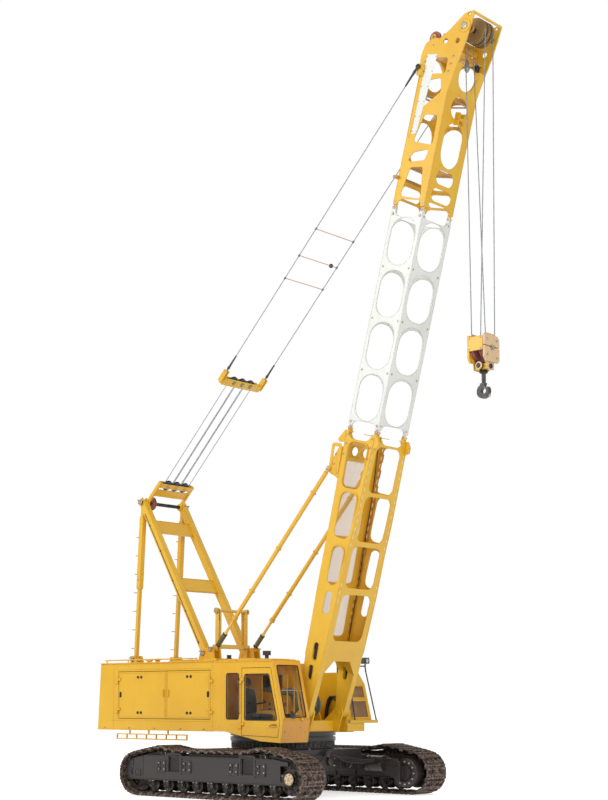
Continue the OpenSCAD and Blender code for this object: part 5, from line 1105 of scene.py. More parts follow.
def makeLeftHousing():
    slopeX, slopeZ = leftHouse["high"][0] - leftHouse["low"][0], leftHouse["high"][1] - leftHouse["low"][1]
    tall = math.hypot(slopeX, slopeZ)
    up = Vector((slopeX / tall, 0, slopeZ / tall))
    out = Vector((up.z, 0, -up.x))
    midY = (leftHouse["inner"] + leftHouse["outer"]) / 2
    made, wires, dark = [], [], []
    for low, high in ((0.050, 0.420), (0.475, 0.745)):
        centre = Vector((leftHouse["low"][0], midY, leftHouse["low"][1])) + up * ((low + high) / 2)
        turn = Matrix((Vector((0, 1, 0)), up, Vector((0, 1, 0)).cross(up))).transposed().to_4x4()
        ring = ringPlate(0.62, high - low + 0.03, 0.02, 0.03, 0.012)
        made.append(settle(ring, moveTo(centre) @ turn))
        clear()
        bpy.ops.mesh.primitive_grid_add(x_subdivisions=22, y_subdivisions=int(22 * (high - low) / 0.58), size=1)
        net = bpy.context.object
        net.scale = (0.585, high - low, 1)
        settle(net, moveTo(centre - out * 0.015) @ turn)
        applied(net, "WIREFRAME", thickness=0.005)
        wires.append(done())
    # door seam, rim and small handle on the housing's outer side
    made.append(plate((-0.500, 1.544, 2.520), (0.800, 1.556, 2.535), 0.003))
    made.append(plate((0.30, 1.546, 1.60), (0.312, 1.556, 2.48), 0.003))
    made.append(plate((-0.40, 1.546, 1.60), (-0.388, 1.556, 2.48), 0.003))
    dark.append(tube([(0.38, 1.548, 2.02), (0.38, 1.585, 2.02), (0.38, 1.585, 2.14), (0.38, 1.548, 2.14)], 0.008))
    # tread plate studs along the walkway edge
    tread = copies(plate((-0.02, -0.004, 0), (0.02, 0.004, 0.004), 0.001),
            [moveTo(0.62 + 0.06 * i, 1.585 + 0.02 * (i % 2), 1.549) @ Matrix.Rotation(0.8 if i % 2 else -0.8, 4, "Z")
            for i in range(10)])
    finished("leftHousingTrim", made, yellow, "upper")
    finished("leftHousingNets", wires, galvanised, "upper")
    finished("leftHousingHandle", dark + tread, blackCoat, "upper")
    # hoses from the deck up into the boom's foot
    hoses, sleeves = [], []
    for k in range(3):
        y = 0.70 + 0.035 * k
        hoses.append(tube([(0.90 + 0.03 * k, y, 1.55), (0.94 + 0.03 * k, y, 1.72), (0.86 + 0.04 * k, y + 0.01, 1.98),
                (0.72 + 0.03 * k, y - 0.01, 2.08), (0.60, y - 0.01, 1.90), (0.56, y, 1.56)], 0.016, bend=1))
    sleeves.append(tube([(1.17, 0.705, 1.500), (1.19, 0.700, 1.62), (1.13, 0.690, 1.86), (1.02, 0.690, 2.05),
            (0.90, 0.700, 2.16)], 0.022, bend=1))
    sleeves.append(turned([(0, 0), (0.034, 0), (0.036, 0.005), (0.036, 0.05), (0.024, 0.06), (0, 0.06)], (0, 0, 1),
            (1.17, 0.705, 1.485), 14))
    finished("deckHoses", hoses, hoseRubber, "upper")
    finished("greyHose", sleeves, paleHose, "upper")
    # work lamp: reflector rim and lens, with a small plate under it
    lampAt = Vector((1.040, 1.470, 2.810))
    rim = turned([(0.045, 0), (0.062, 0), (0.064, 0.004), (0.064, 0.016), (0.052, 0.016), (0.050, 0.008),
            (0.045, 0.008)], (1, 0, 0), lampAt + Vector((0.056, 0, 0)), 20)
    finished("lampRim", [rim, plate((0.972, 1.455, 2.742), (0.984, 1.485, 2.752), 0.003)], blackCoat, "upper")
    face = turned([(0, 0.006), (0.030, 0.004), (0.050, 0), (0.050, -0.004), (0, -0.004)], (1, 0, 0), lampAt
            + Vector((0.062, 0, 0)), 20)
    finished("lampLens", [face], lens, "upper")
    print("left housing and lamp")


makeLeftHousing()


# gantry, winches and rope guide

def keeper(at, axis, radius, out=0.02):  # a pin's head with a keeper plate and two bolts
    axis = Vector(axis)
    at = Vector(at)
    head = turned([(0, 0), (radius * 0.94, 0), (radius, radius * 0.06), (radius, out), (radius * 0.75, out * 1.15),
            (radius * 0.3, out * 1.15), (radius * 0.25, out * 0.9), (0, out * 0.9)], axis, at, 20)
    side = axis.cross(Vector((1, 0, 0))).normalized()
    bar = plate((-radius * 1.25, radius * 0.55, 0), (radius * 1.25, radius * 0.95, out * 0.6), 0.003)
    bar = settle(bar, along(axis, at + axis * out * 0.9))
    bolts = copies(hexBolt(radius * 0.4), [along(axis, at + axis * out * 1.45)
            @ moveTo(way * radius * 1.02, radius * 0.75, 0) for way in (-1, 1)])
    return [head, bar] + bolts


gantry = {"y": 0.615, "foot": (-1.680, 2.980), "top": (-3.740, 6.440), "strut": (-3.930, 2.880)}


def makeGantryTrim():
    g = gantry
    pins, made, dark = [], [], []
    for way in (-1, 1):
        for at, r, y in ((g["foot"], 0.058, 0.746), (g["strut"], 0.055, 0.744), (g["top"], 0.060, 0.724),
                ((-1.435, 3.060), 0.048, 0.746)):
            pins += keeper((at[0], way * y, at[1]), (0, way, 0), r)
    # welded collars and cover plates on the legs, rungs on the near strut
    leg = Vector((g["top"][0] - g["foot"][0], 0, g["top"][1] - g["foot"][1]))
    length = leg.length
    turn = moveTo(g["foot"][0], 0, g["foot"][1]) @ Matrix.Rotation(-math.atan2(leg.z, leg.x), 4, "Y")
    for way in (-1, 1):
        y = way * g["y"]
        for s in (0.12, length * 0.445, length * 0.835, length - 0.24):
            for z in (-0.078, 0.070):
                made.append(settle(plate((s - 0.22, y - 0.060, z), (s + 0.22, y + 0.060, z + 0.008), 0.003), turn))
            made.append(settle(plate((s - 0.16, y + way * 0.073 - 0.004, -0.055),
                    (s + 0.16, y + way * 0.073 + 0.004, 0.055), 0.003), turn))
        dark.append(settle(tube([(0.25, y + way * 0.079, 0.03), (length * 0.5, y + way * 0.080, 0.03),
                (length - 0.3, y + way * 0.079, 0.03)], 0.008), turn))
        for s in (0.3, 1.1, 1.9, 2.7, 3.4):
            dark.append(settle(plate((s - 0.012, y + way * 0.073, 0.014), (s + 0.012, y + way * 0.090, 0.044), 0.003),
                    turn))
    # rims of the two cross plates
    for share in (0.445, 0.835):
        s = length * share
        for e in (-0.170, 0.160):
            made.append(settle(plate((s + e, -0.540, -0.026), (s + e + 0.010, 0.540, 0.026), 0.003), turn))
    # steps on the right strut, and bolts through its sleeve
    strut = Vector((g["top"][0] - g["strut"][0], 0, g["top"][1] - g["strut"][1]))
    stand = moveTo(g["strut"][0], 0, g["strut"][1]) @ Matrix.Rotation(-math.atan2(strut.z, strut.x), 4, "Y")
    for way in (-1, 1):
        y = way * g["y"]
        for k in range(7):
            s = 0.25 + 0.42 * k
            made.append(settle(tube([(s, y, 0.036), (s, y, 0.115), (s, y, 0.118)], 0.007), stand))
            made.append(settle(rod((s, y - 0.07, 0.112), (s, y + 0.07, 0.112), 0.010), stand))
        for s in (1.63, 1.80):
            pins += [settle(b, stand) for b in boltsAt(0.03, (0, way, 0), [(s, y + way * 0.055, 0)])]
        made.append(settle(turned([(0.048, 0), (0.070, 0), (0.076, 0.006), (0.076, 0.034), (0.070, 0.040),
                (0.048, 0.040)], (1, 0, 0), (1.60, y, 0), 20), stand))
    finished("gantryPins", pins, pinSteel, "upper")
    finished("gantryPlates", made, yellowBoom, "upper")
    finished("gantryCables", dark, hoseRubber, "upper")


def ropeWinding(x, z, radius, half, wire=0.011):  # rope laid turn beside turn on a drum
    profile = [(radius - 0.004, -half)]
    turns = int(2 * half / (2 * wire))
    for k in range(turns):
        mid = -half + (k + 0.5) * 2 * half / turns
        for a in (-60, 0, 60):
            profile.append((radius + wire * math.cos(math.radians(a)), mid + wire * math.sin(math.radians(a))))
    profile.append((radius - 0.004, half))
    return turned(profile, (0, 1, 0), (x, 0, z), 32)


guide = {"x": -1.530, "half": 0.440, "low": 3.080, "top": 3.905}


def makeWinches():
    ropes, made, bright = [], [], []
    for x, z, r in ((-0.150, 1.950, 0.190), (0.480, 1.880, 0.160)):
        ropes.append(ropeWinding(x, z, r + 0.006, 0.345))
        for way in (-1, 1):
            # arched flange with spokes, and a pin head outside it
            made.append(turned([(r + 0.060, 0), (r + 0.092, 0), (r + 0.096, 0.006), (r + 0.096, 0.030),
                    (r + 0.084, 0.034), (r + 0.060, 0.010)], (0, way, 0), (x, way * 0.355, z), 36))
            rib = plate((0.055, -0.010, 0), (r + 0.07, 0.010, 0.012), 0.003)
            made += copies(rib, [along((0, way, 0), (x, way * 0.381, z)) @ Matrix.Rotation(math.tau * i / 8, 4, "Z")
                    for i in range(8)])
            bright += keeper((x, way * 0.430, z), (0, way, 0), 0.045, 0.014)
    finished("ropeOnDrums", ropes, drumWire, "upper")
    finished("drumFlanges", made, greenCoat, "upper")
    finished("drumPins", bright, pinSteel, "upper")
    # rope guide: a portal of two channel posts on a cross beam, with a grooved roller between end knobs
    g = guide
    made, rolls = [], []
    for way in (-1, 1):
        y = way * g["half"]
        made.append(plate((g["x"] - 0.055, y - 0.016, g["low"]), (g["x"] + 0.055, y + 0.016, g["top"] + 0.055), 0.006))
        made.append(plate((g["x"] - 0.062, y - way * 0.070 - 0.008, g["low"] + 0.02),
                (g["x"] - 0.050, y + 0.008, g["top"] - 0.02), 0.003))
        made.append(plate((g["x"] + 0.050, y - way * 0.070 - 0.008, g["low"] + 0.02),
                (g["x"] + 0.062, y + 0.008, g["top"] - 0.02), 0.003))
        # gusset at the top and bracket at the foot
        for high, low, wide in ((g["top"] + 0.02, g["top"] - 0.24, 0.105), (g["low"] + 0.02, 2.771, 0.150)):
            gusset = plate((g["x"] - 0.055, y - 0.010, low), (g["x"] + 0.055, y + 0.010, high), 0.003)
            pick(gusset, lambda c, n, low=low, high=high: abs(n.z) > 0.9
                    and (abs(c.z - high) < 0.01 if wide < 0.12 else abs(c.z - low) < 0.01))
            bpy.ops.transform.resize(value=(wide / 0.055, 1, 1))
            made.append(done())
        made.append(plate((g["x"] - 0.17, y - 0.06, 2.768), (g["x"] + 0.17, y + 0.06, 2.780), 0.004))
        rolls.append(turned([(0, 0), (0.052, 0), (0.062, 0.010), (0.064, 0.040), (0.050, 0.052), (0.020, 0.056),
                (0, 0.056)], (0, way, 0), (g["x"], way * (g["half"] + 0.014), g["top"]), 20))
    made.append(plate((g["x"] - 0.045, -g["half"] - 0.10, g["low"]),
            (g["x"] + 0.045, g["half"] + 0.10, g["low"] + 0.090), 0.008, 2))
    made.append(turned([(0, -0.43), (0.038, -0.43), (0.044, -0.424), (0.044, -0.40), (0.034, -0.39), (0.034, 0.39),
            (0.044, 0.40), (0.044, 0.424), (0.038, 0.43), (0, 0.43)], (0, 1, 0), (g["x"], 0, g["top"]), 24))
    bolts = copies(hexBolt(0.03), [moveTo(g["x"] + x, way * g["half"] + y, 2.780) for x in (-0.14, 0.14)
            for y in (-0.04, 0.04) for way in (-1, 1)])
    finished("guidePortal", made, yellowPale, "upper", ["rope_guide"])
    finished("guideKnobs", rolls, oliveYellow, "upper")
    finished("guideBolts", bolts, pinSteel, "upper")
    print("gantry, winches and rope guide")


makeGantryTrim()
makeWinches()


# boom, drawn lying along X from its foot pins and then stood up

boom = {"meshCell": 0.044, "wire": 0.0105, "slope": 2.194, "sideOpenings": [(5.110, 0.060, 0.940, 0.500),
        (4.090, 0.010, 0.930, 0.420), (3.060, -0.016, 0.790, 0.300)],
        "faceOpenings": [(5.110, 0.940, 0.770), (4.090, 0.930, 0.830), (3.090, 0.860, 0.890), (2.035, 0.970, 0.920)],
        "handHoles": [(1.270, 0.035, 0.360, 0.120), (0.830, 0.060, 0.290, 0.120)]}


def baseHalf(s):  # half the width of the base section
    return 0.620 if s < 2.6 else 0.620 - 0.085 * (s - 2.6) / 3.19


def baseRear(s):
    return 0.285 + (s - 1.150) * (0.465 - 0.285) / (5.790 - 1.150)


def makeBoomMesh():
    nets = []
    for s, length, width in [(4.920, 0.540, 0.770)] + boom["faceOpenings"][1:]:
        cell = boom["meshCell"]
        clear()
        bpy.ops.mesh.primitive_grid_add(x_subdivisions=int(length / cell), y_subdivisions=int((width - 0.02) / cell),
                size=1)
        net = bpy.context.object
        net.scale = (length + 0.04, width + 0.02, 1)
        settle(net)
        editAll()
        bpy.ops.mesh.poke()  # a cross in each cell, and the first edges dissolved: diamonds
        pick(net, lambda a, b: (abs(a.x - b.x) < 1e-4 or abs(a.y - b.y) < 1e-4) and abs(a.x) < length / 2
                and abs(a.y) < width / 2 and abs(b.x) < length / 2 and abs(b.y) < width / 2, "EDGE")
        bpy.ops.mesh.dissolve_edges(use_verts=False)
        bpy.ops.object.mode_set(mode="OBJECT")
        applied(net, "WIREFRAME", thickness=boom["wire"])
        done(80)
        ring = ringPlate(length + 0.05, width + 0.05, 0.12, 0.020, 0.006)
        for part in (net, ring):
            nets.append(settle(part, moveTo(s, 0, baseRear(s) + 0.003) @ turnBy(-boom["slope"], "Y")))
    finished("boomMesh", nets, netWire, "boom", ["boom_mesh"], place=boomTurn)


def makeBaseTrim():
    made, bolts, dark, brown, back, slots = [], [], [], [], [], []
    for way in (-1, 1):
        # folded rims round the side openings and the hand holes
        for s, v, length, width in boom["sideOpenings"]:
            ring = ringPlate(length + 0.05, width + 0.05, min(0.16, width / 2 - 0.01), 0.022, 0.012)
            made.append(settle(ring, moveTo(s, way * (baseHalf(s) - 0.004), v) @ turnBy(way * 1.5, "Z")
                    @ turnBy(-90 * way, "X")))
        for s, v, length, width in boom["handHoles"]:
            ring = ringPlate(length + 0.03, width + 0.03, width / 2, 0.014, 0.010)
            made.append(settle(ring, moveTo(s, way * 0.619, v) @ turnBy(-3, "Y") @ turnBy(-90 * way, "X")))
        # stiffeners inside the webs
        for s in (2.62, 3.57, 4.60):
            made.append(plate((s - 0.008, way * (baseHalf(s) - 0.060), -0.22),
                    (s + 0.008, way * (baseHalf(s) - 0.016), 0.34), 0.003))
        # foot boss ring
        made.append(turned([(0.060, 0), (0.104, 0), (0.110, 0.006), (0.110, 0.014), (0.060, 0.014)], (0, way, 0),
                (0, way * 0.619, 0), 28))
        for s in (5.30, 5.52, 5.70):
            for v in (-0.245, 0.405):
                bolts += boltsAt(0.03, (0, way, 0), [(s, way * (baseHalf(s) + 0.001), v)])
        for s in (4.860, 5.060, 5.260):
            bolts += boltsAt(0.032, (0, way, 0), [(s, way * 0.562, 0.60)])
    # folded edges along the four chords
    for way in (-1, 1):
        for points in ([(1.3, -0.195), (2.5, -0.235), (3.4, -0.245), (4.0, -0.275), (5.75, -0.293)],
                [(1.15, 0.285), (5.75, 0.463)]):
            edge = tube([boomTurn @ Vector((s, way * baseHalf(s), v)) for s, v in points], 0.009)
            made.append(settle(edge, boomTurn.inverted()))
    # round holes' collars in the top bulkhead, and a cable along the left side
    for y in (-0.23, 0.23):
        made.append(turned([(0.096, 0), (0.118, 0), (0.118, 0.012), (0.096, 0.012)], (1, 0, 0), (5.758, y, 0.105), 28))
    dark.append(tube([(0.35, 0.545, 0.11), (1.2, 0.560, 0.20), (2.6, 0.575, 0.26), (5.60, 0.520, 0.40),
            (5.85, 0.44, 0.45)], 0.008, bend=1))
    # rear plate under the top end, with two round holes cut in it
    cover = plate((-0.20, -0.45, -0.005), (0.20, 0.45, 0.005), 0.002)
    for y in (-0.175, 0.175):
        drill = rod((0, y, -0.05), (0, y, 0.05), 0.092, 28, 0.01)
        applied(cover, "BOOLEAN", object=drill, operation="DIFFERENCE", solver="EXACT")
        bpy.data.objects.remove(drill)
    made.append(settle(cover, moveTo(5.385, 0, baseRear(5.385) - 0.006) @ turnBy(-boom["slope"], "Y")))
    # slotted angle inside the left rear chord, brown as painted shade, and the slots along the front chords
    for k in range(24):
        s = 1.72 + 0.165 * k
        y = baseHalf(s) - 0.024
        brown.append(plate((s - 0.085, y - 0.006, 0.235 + 0.02 * (k % 2)), (s + 0.085, y, 0.355), 0.002))
        slots.append(plate((s - 0.042, y - 0.009, 0.285), (s + 0.042, y - 0.005, 0.310), 0.002))
        if k > 3:
            v = -0.235 if s < 3.4 else -0.245 - 0.030 * min(1, (s - 3.4) / 0.6) - 0.020 * max(0, (s - 4.0) / 1.79)
            for way in (-1, 1):
                slots.append(plate((s - 0.040, way * (baseHalf(s) - 0.050) - 0.010, v - 0.003),
                        (s + 0.040, way * (baseHalf(s) - 0.050) + 0.010, v + 0.003), 0.002))
    # dark sheets behind the hand holes: painted shade inside the boom
    for s, v, length, width in boom["handHoles"]:
        for way in (-1, 1):
            back.append(plate((s - length / 2 - 0.02, way * 0.585 - 0.004, v - width / 2 - 0.02),
                    (s + length / 2 + 0.02, way * 0.585 + 0.004, v + width / 2 + 0.02), 0.003))
    # doubler with a long slot on each stop bracket, its corners rounded
    for way in (-1, 1):
        doubler = ringPlate(0.64, 0.27, 0.070, 0.075, 0.007)
        made.append(settle(doubler, moveTo(5.175, way * 0.563, 0.595) @ turnBy(-4, "Y") @ turnBy(-90 * way, "X")))
    finished("baseTrim", made, yellowBoom, "boom", place=boomTurn)
    finished("slottedAngles", brown, insideShade, "boom", place=boomTurn)
    finished("chordSlots", slots, slotCoat, "boom", place=boomTurn)
    finished("handHoleShadeSheets", back, rubberAndShade, "boom", place=boomTurn)
    finished("baseBolts", bolts, pinSteel, "boom", place=boomTurn)
    finished("boomCable", dark, hoseRubber, "boom", place=boomTurn)


def makeJoints():
    pins, plates = [], []
    for s in (insertAt, headAt):
        for way in (-1, 1):
            for v in (-boomFront + 0.042, boomRear - 0.042):
                y = way * (boomHalf - 0.040)
                head = turned([(0, 0), (0.030, 0), (0.033, 0.004), (0.033, 0.014), (0.020, 0.020), (0, 0.020)],
                        (0, way, 0), (s, y + way * 0.037, v), 14)
                clip = tube([(s - 0.010, y + way * 0.046, v - 0.045), (s + 0.010, y + way * 0.049, v - 0.050),
                        (s + 0.024, y + way * 0.046, v), (s + 0.008, y + way * 0.049, v + 0.046)], 0.004)
                tail = rod((s, y - way * 0.036, v), (s, y - way * 0.058, v), 0.018)
                pins += [head, clip, tail]
                for e in (-1, 1):
                    plates.append(plate((s + e * 0.120 - 0.030, y - 0.044, v - 0.018),
                            (s + e * 0.120 + 0.030, y - 0.038, v + 0.018), 0.003))
    finished("jointPins", pins, palePins, "boom", place=boomTurn)
    finished("jointPlates", plates, palePins, "boom", place=boomTurn)


insert = {"first": 5.850, "length": 4.510, "panels": 4, "pitch": (4.510 - 0.27) / 4}


def makeInsertTrim():
    rims, bolts = [], []
    mid = (boomRear - boomFront) / 2
    for i in range(insert["panels"]):
        s = insert["first"] + insert["length"] / 2 + (i - 1.5) * insert["pitch"]
        for way in (-1, 1):
            ring = ringPlate(insert["pitch"] - 0.115 + 0.030, 0.800 - 0.170 + 0.030, 0.300, 0.014, 0.008)
            rims.append(settle(ring, moveTo(s, way * (boomHalf - 0.003), mid) @ turnBy(-90 * way, "X")))
            ring = ringPlate(insert["pitch"] - 0.115 + 0.030, 0.950 - 0.170 + 0.030, 0.340, 0.014, 0.008)
            rims.append(settle(ring, moveTo(s, 0, boomRear - 0.003 if way > 0 else -boomFront + 0.003)
                    @ Matrix.Rotation(0 if way > 0 else math.pi, 4, "X")))
    for i in range(insert["panels"] + 1):
        s = insert["first"] + insert["length"] / 2 + (i - 2) * insert["pitch"]
        for way in (-1, 1):
            # round drain holes ringed in grey at each node, and their plugs
            for v in (-boomFront + 0.060, boomRear - 0.060):
                bolts.append(turned([(0, -0.001), (0.016, -0.001), (0.022, 0.001), (0.022, 0.006), (0.014, 0.006),
                        (0.010, 0.002), (0, 0.002)], (0, way, 0), (s, way * boomHalf, v), 12))
            for v, y in ((boomRear, way * 0.41), (-boomFront, way * 0.41)):
                bolts.append(turned([(0, -0.001), (0.016, -0.001), (0.022, 0.001), (0.022, 0.006), (0.014, 0.006),
                        (0.010, 0.002), (0, 0.002)], (0, 0, 1 if v > 0 else -1), (s, y, v), 12))
            # diaphragm corner gussets inside
            for v in (-boomFront + 0.05, boomRear - 0.05):
                rims.append(plate((s - 0.006, way * (boomHalf - 0.10) - 0.05, v - 0.035),
                        (s + 0.006, way * (boomHalf - 0.10) + 0.05, v + 0.035), 0.002))
    for way in (-1, 1):
        for v in (-boomFront, boomRear):
            rims.append(tube([(s, way * boomHalf, v) for s in (insertAt + 0.07, headAt - 0.07)], 0.008))
    finished("insertRims", rims, white, "boom", place=boomTurn)
    finished("insertPlugs", bolts, pinSteel, "boom", place=boomTurn)


headTrim = {"shelf": 13.500, "tip": 14.300, "drop": 0.400}


def makeHeadTrim():
    h = headTrim
    made, pins, brown, dark = [], [], [], []
    for way in (-1, 1):
        y = way * boomHalf
        # chord edges and the nose plate's doubler round the sheave axle
        for v in (-boomFront, boomRear):
            made.append(tube([(s, y, v) for s in (headAt + 0.07, h["shelf"] - (0.76 if v < 0 else 0.43))], 0.008))
        made.append(turned([(0.056, 0), (0.128, 0), (0.134, 0.006), (0.134, 0.014), (0.056, 0.014)], (0, way, 0),
                (sheaveAt, y - way * 0.001, -h["drop"]), 32))
        made.append(turned([(0.034, 0), (0.042, 0), (0.045, 0.003), (0.045, 0.008), (0.034, 0.008)], (0, way, 0),
                (h["tip"] - 0.070, y - way * 0.001, -h["drop"] - 0.050), 24))
        pins += keeper((sheaveAt, y + way * 0.013, -h["drop"]), (0, way, 0), 0.060, 0.016)
        # pendant ear: cheek ring and pin
        made.append(turned([(0.030, 0), (0.062, 0), (0.066, 0.005), (0.066, 0.012), (0.030, 0.012)], (0, -way, 0),
                (13.163, way * (boomHalf + 0.001), 0.470), 24))
        pins += keeper((13.163, way * 0.580, 0.470), (0, way, 0), 0.036, 0.012)
        # bolts along the splice of the nose
        for s, v in ((13.10, -0.22), (13.25, -0.24), (13.40, -0.27), (13.10, 0.40), (13.30, 0.42)):
            pins += boltsAt(0.034, (0, way, 0), [(s, way * (boomHalf + 0.001), v)])
        for s in (13.62, 13.78):
            pins += boltsAt(0.028, (0, way, 0), [(s, way * (boomHalf + 0.001), 0.30)])
    # spacer rings between the sheaves
    for y in (-0.065, 0.065, -0.30, 0.30):
        brown.append(turned([(0.052, -0.030), (0.085, -0.030), (0.090, -0.024), (0.090, 0.024), (0.085, 0.030),
                (0.052, 0.030)], (0, 1, 0), (sheaveAt, y, -h["drop"]), 24))
    # bulkheads with a round lightening hole, seen brown and shaded inside the head
    for s, height in ((11.20, 0.10), (12.62, 0.10)):
        ring = ringPlate(0.74, 0.88, 0.16, 0.09, 0.010)
        brown.append(settle(ring, moveTo(s, 0, 0.105) @ turnBy(90, "Y")))
    # grey-brown idler bar that crosses the head and sticks out behind
    bar = plate((-0.030, -0.560, -0.055), (0.030, 0.380, 0.055), 0.006)
    brown.append(settle(bar, moveTo(10.965, 0, boomRear + 0.030)))
    for y in (-0.42, 0.34):
        brown.append(plate((10.93, y - 0.012, boomRear - 0.01), (11.00, y + 0.012, boomRear + 0.04), 0.004))
    # rope roller on the front chord, with its flanges
    made.append(turned([(0, -0.062), (0.050, -0.062), (0.054, -0.056), (0.036, -0.042), (0.036, 0.042), (0.054, 0.056),
            (0.050, 0.062), (0, 0.062)], (0, 1, 0), (headAt + 1.915, 0, -boomFront - 0.080), 20))
    pins.append(tube([(headAt + 1.915, -0.10, -boomFront - 0.080), (headAt + 1.915, 0.10, -boomFront - 0.080)], 0.014))
    # grey roller and clamp on the rear shelf beside the auxiliary sheave
    dark.append(turned([(0, -0.11), (0.055, -0.11), (0.060, -0.104), (0.060, -0.09), (0.042, -0.08), (0.042, 0.08),
            (0.060, 0.09), (0.060, 0.104), (0.055, 0.11), (0, 0.11)], (0, 1, 0), (h["shelf"] + 0.36, -0.16, 0.20), 20))
    for y in (-0.285, -0.035):
        made.append(plate((h["shelf"] + 0.30, y - 0.008, 0.02), (h["shelf"] + 0.42, y + 0.008, 0.26), 0.006))
    # limit switch and a small plate beside it
    dark.append(plate((13.30, 0.20, -0.37), (13.42, 0.30, -0.29), 0.010, 2))
    pins.append(plate((13.43, 0.215, -0.36), (13.47, 0.285, -0.31), 0.006))
    finished("headPlates", made, yellowBoom, "boom", place=boomTurn)
    finished("headPins", pins, pinSteel, "boom", place=boomTurn)
    finished("headInside", brown, insideShade, "boom", place=boomTurn)
    finished("headRoller", dark, darkSteel, "boom", place=boomTurn)
    # blank white plate on the right side, with its rivets and no words
    corners = [(11.84, 0.405), (11.86, 0.275), (13.45, 0.140), (13.45, 0.400)]
    clear()
    bpy.ops.mesh.primitive_plane_add(size=1)
    sign = bpy.context.object
    for point, (s, v) in zip(sign.data.vertices, (corners[0], corners[1], corners[3], corners[2])):
        point.co = (s, -boomHalf - 0.007, v)
    applied(sign, "SOLIDIFY", thickness=0.005)
    editAll()
    bpy.ops.mesh.bevel(offset=0.002, segments=1, affect="EDGES")
    bpy.ops.mesh.normals_make_consistent(inside=False)
    done()
    finished("blankPlate", [sign], white, "boom", place=boomTurn)
    rivets = copies(turned([(0, 0), (0.010, 0), (0.009, 0.004), (0.005, 0.007), (0, 0.008)], (0, -1, 0), steps=8),
            [moveTo(s, -boomHalf - 0.011, v) for k in range(6) for s,
            v in [(11.90 + 0.30 * k, 0.385), (11.90 + 0.30 * k, 0.292 - 0.0255 * k)]])
    finished("plateRivets", rivets, galvanised, "boom", place=boomTurn)
    # bar that joins the two nose plates over the sheaves
    guard = plate((0.280, -0.466, -0.030), (0.330, 0.466, 0.030), 0.008, 2)
    guard = settle(guard, moveTo(boomTurn @ Vector((sheaveAt, 0, -h["drop"]))) @ turnBy(-45, "Y"))
    finished("tipGuard", [guard], yellowBoom, "boom")
    # rope end with its wedge socket, hanging under the head
    socket = [settle(turned([(0, 0), (0.020, 0), (0.026, 0.02), (0.052, 0.13), (0.052, 0.20), (0.040, 0.23),
            (0.022, 0.25), (0, 0.25)], (0, 0, -1), (4.965, -0.05, 14.62), 14))]
    socket.append(tube([(4.965, -0.05, 14.62), (5.02, -0.05, 14.86)], 0.012))
    finished("wedgeSocket", socket, galvanised, "boom")
    print("boom trim")


stop = {"half": 0.587, "start": 0.105, "end": 0.430, "coil": 0.045, "wire": 0.0095, "rod": 0.031, "length": 4.833}


def makeStops():
    springs, cups, rods = [], [], []
    p = stop
    for way in (-1, 1):
        y = way * p["half"]
        turns = 11
        clear()
        bpy.ops.mesh.primitive_circle_add(vertices=10, radius=p["wire"], location=(p["coil"], 0, 0),
                rotation=(math.pi / 2, 0, 0))
        coil = bpy.context.object
        bpy.ops.object.transform_apply(location=True, rotation=True, scale=True)
        applied(coil, "SCREW", screw_offset=(p["end"] - p["start"] - 0.03) / turns, iterations=turns, steps=20,
                render_steps=20, use_normal_calculate=True)
        done(60)
        springs.append(settle(coil, moveTo(p["start"] + 0.015, y, 0) @ turnBy(90, "Y")))
        for s in (p["start"] - 0.004, p["end"] - 0.014):
            cups.append(turned([(0.028, 0), (0.054, 0), (0.058, 0.004), (0.058, 0.014), (0.052, 0.018), (0.028, 0.018)],
                    (1, 0, 0), (s, y, 0), 24))
        # eye, shank and rod
        rods.append(turned([(0.031, -0.015), (0.054, -0.015), (0.060, -0.010), (0.060, 0.010), (0.054, 0.015),
                (0.031, 0.015), (0.031, -0.015)], (0, 1, 0), (0, y, 0), 24))
        rods.append(plate((0.045, y - 0.014, -0.024), (p["start"] + 0.01, y + 0.014, 0.024), 0.004))
        rods.append(turned([(0, p["start"]), (0.024, p["start"]), (0.026, p["end"]), (0.040, p["end"] + 0.004),
                (0.040, p["end"] + 0.03), (p["rod"], p["end"] + 0.045), (p["rod"], p["length"] - 0.51),
                (0.026, p["length"] - 0.50), (0, p["length"] - 0.50)], (1, 0, 0), (0, y, 0), 16))
    finished("stopRods", rods, yellowPale, "stop_rods", ["stop_rods"], place=stopTurn)
    finished("stopSprings", springs, springCoat, "stop_rods", place=stopTurn)
    finished("springCups", cups, darkSteel, "stop_rods", place=stopTurn)
    collars, pins = [], []
    for way in (-1, 1):
        for s in (0.835, 1.60, 2.75, 4.20):
            collars.append(turned([(0.044, 0), (0.062, 0), (0.066, 0.005), (0.066, 0.022), (0.062, 0.028),
                    (0.044, 0.028)], (1, 0, 0), (s, way * 0.587, 0), 20))
        top = (stopBack @ Vector((1.778, 0, 6.670))).x
        pins += keeper((top, way * 0.604, 0), (0, way, 0), 0.034, 0.012)
    finished("stopCollars", collars, yellowBoom, "stop_tubes", place=stopTurn)
    finished("stopEyePins", pins, pinSteel, "stop_tubes", place=stopTurn)
    print("boom stops")


rope = {"near": 3.520, "pendantHalf": 0.612, "pendant": 0.0105, "strand": 0.0078, "bars": (0.344, 0.418, 0.504),
        "lines": (-0.375, -0.145, -0.115, 0.115, 0.145, 0.375), "fixed": 0.560, "outer": 3.190,
        "middle": (0.715, 3.338), "inner": 0.862}


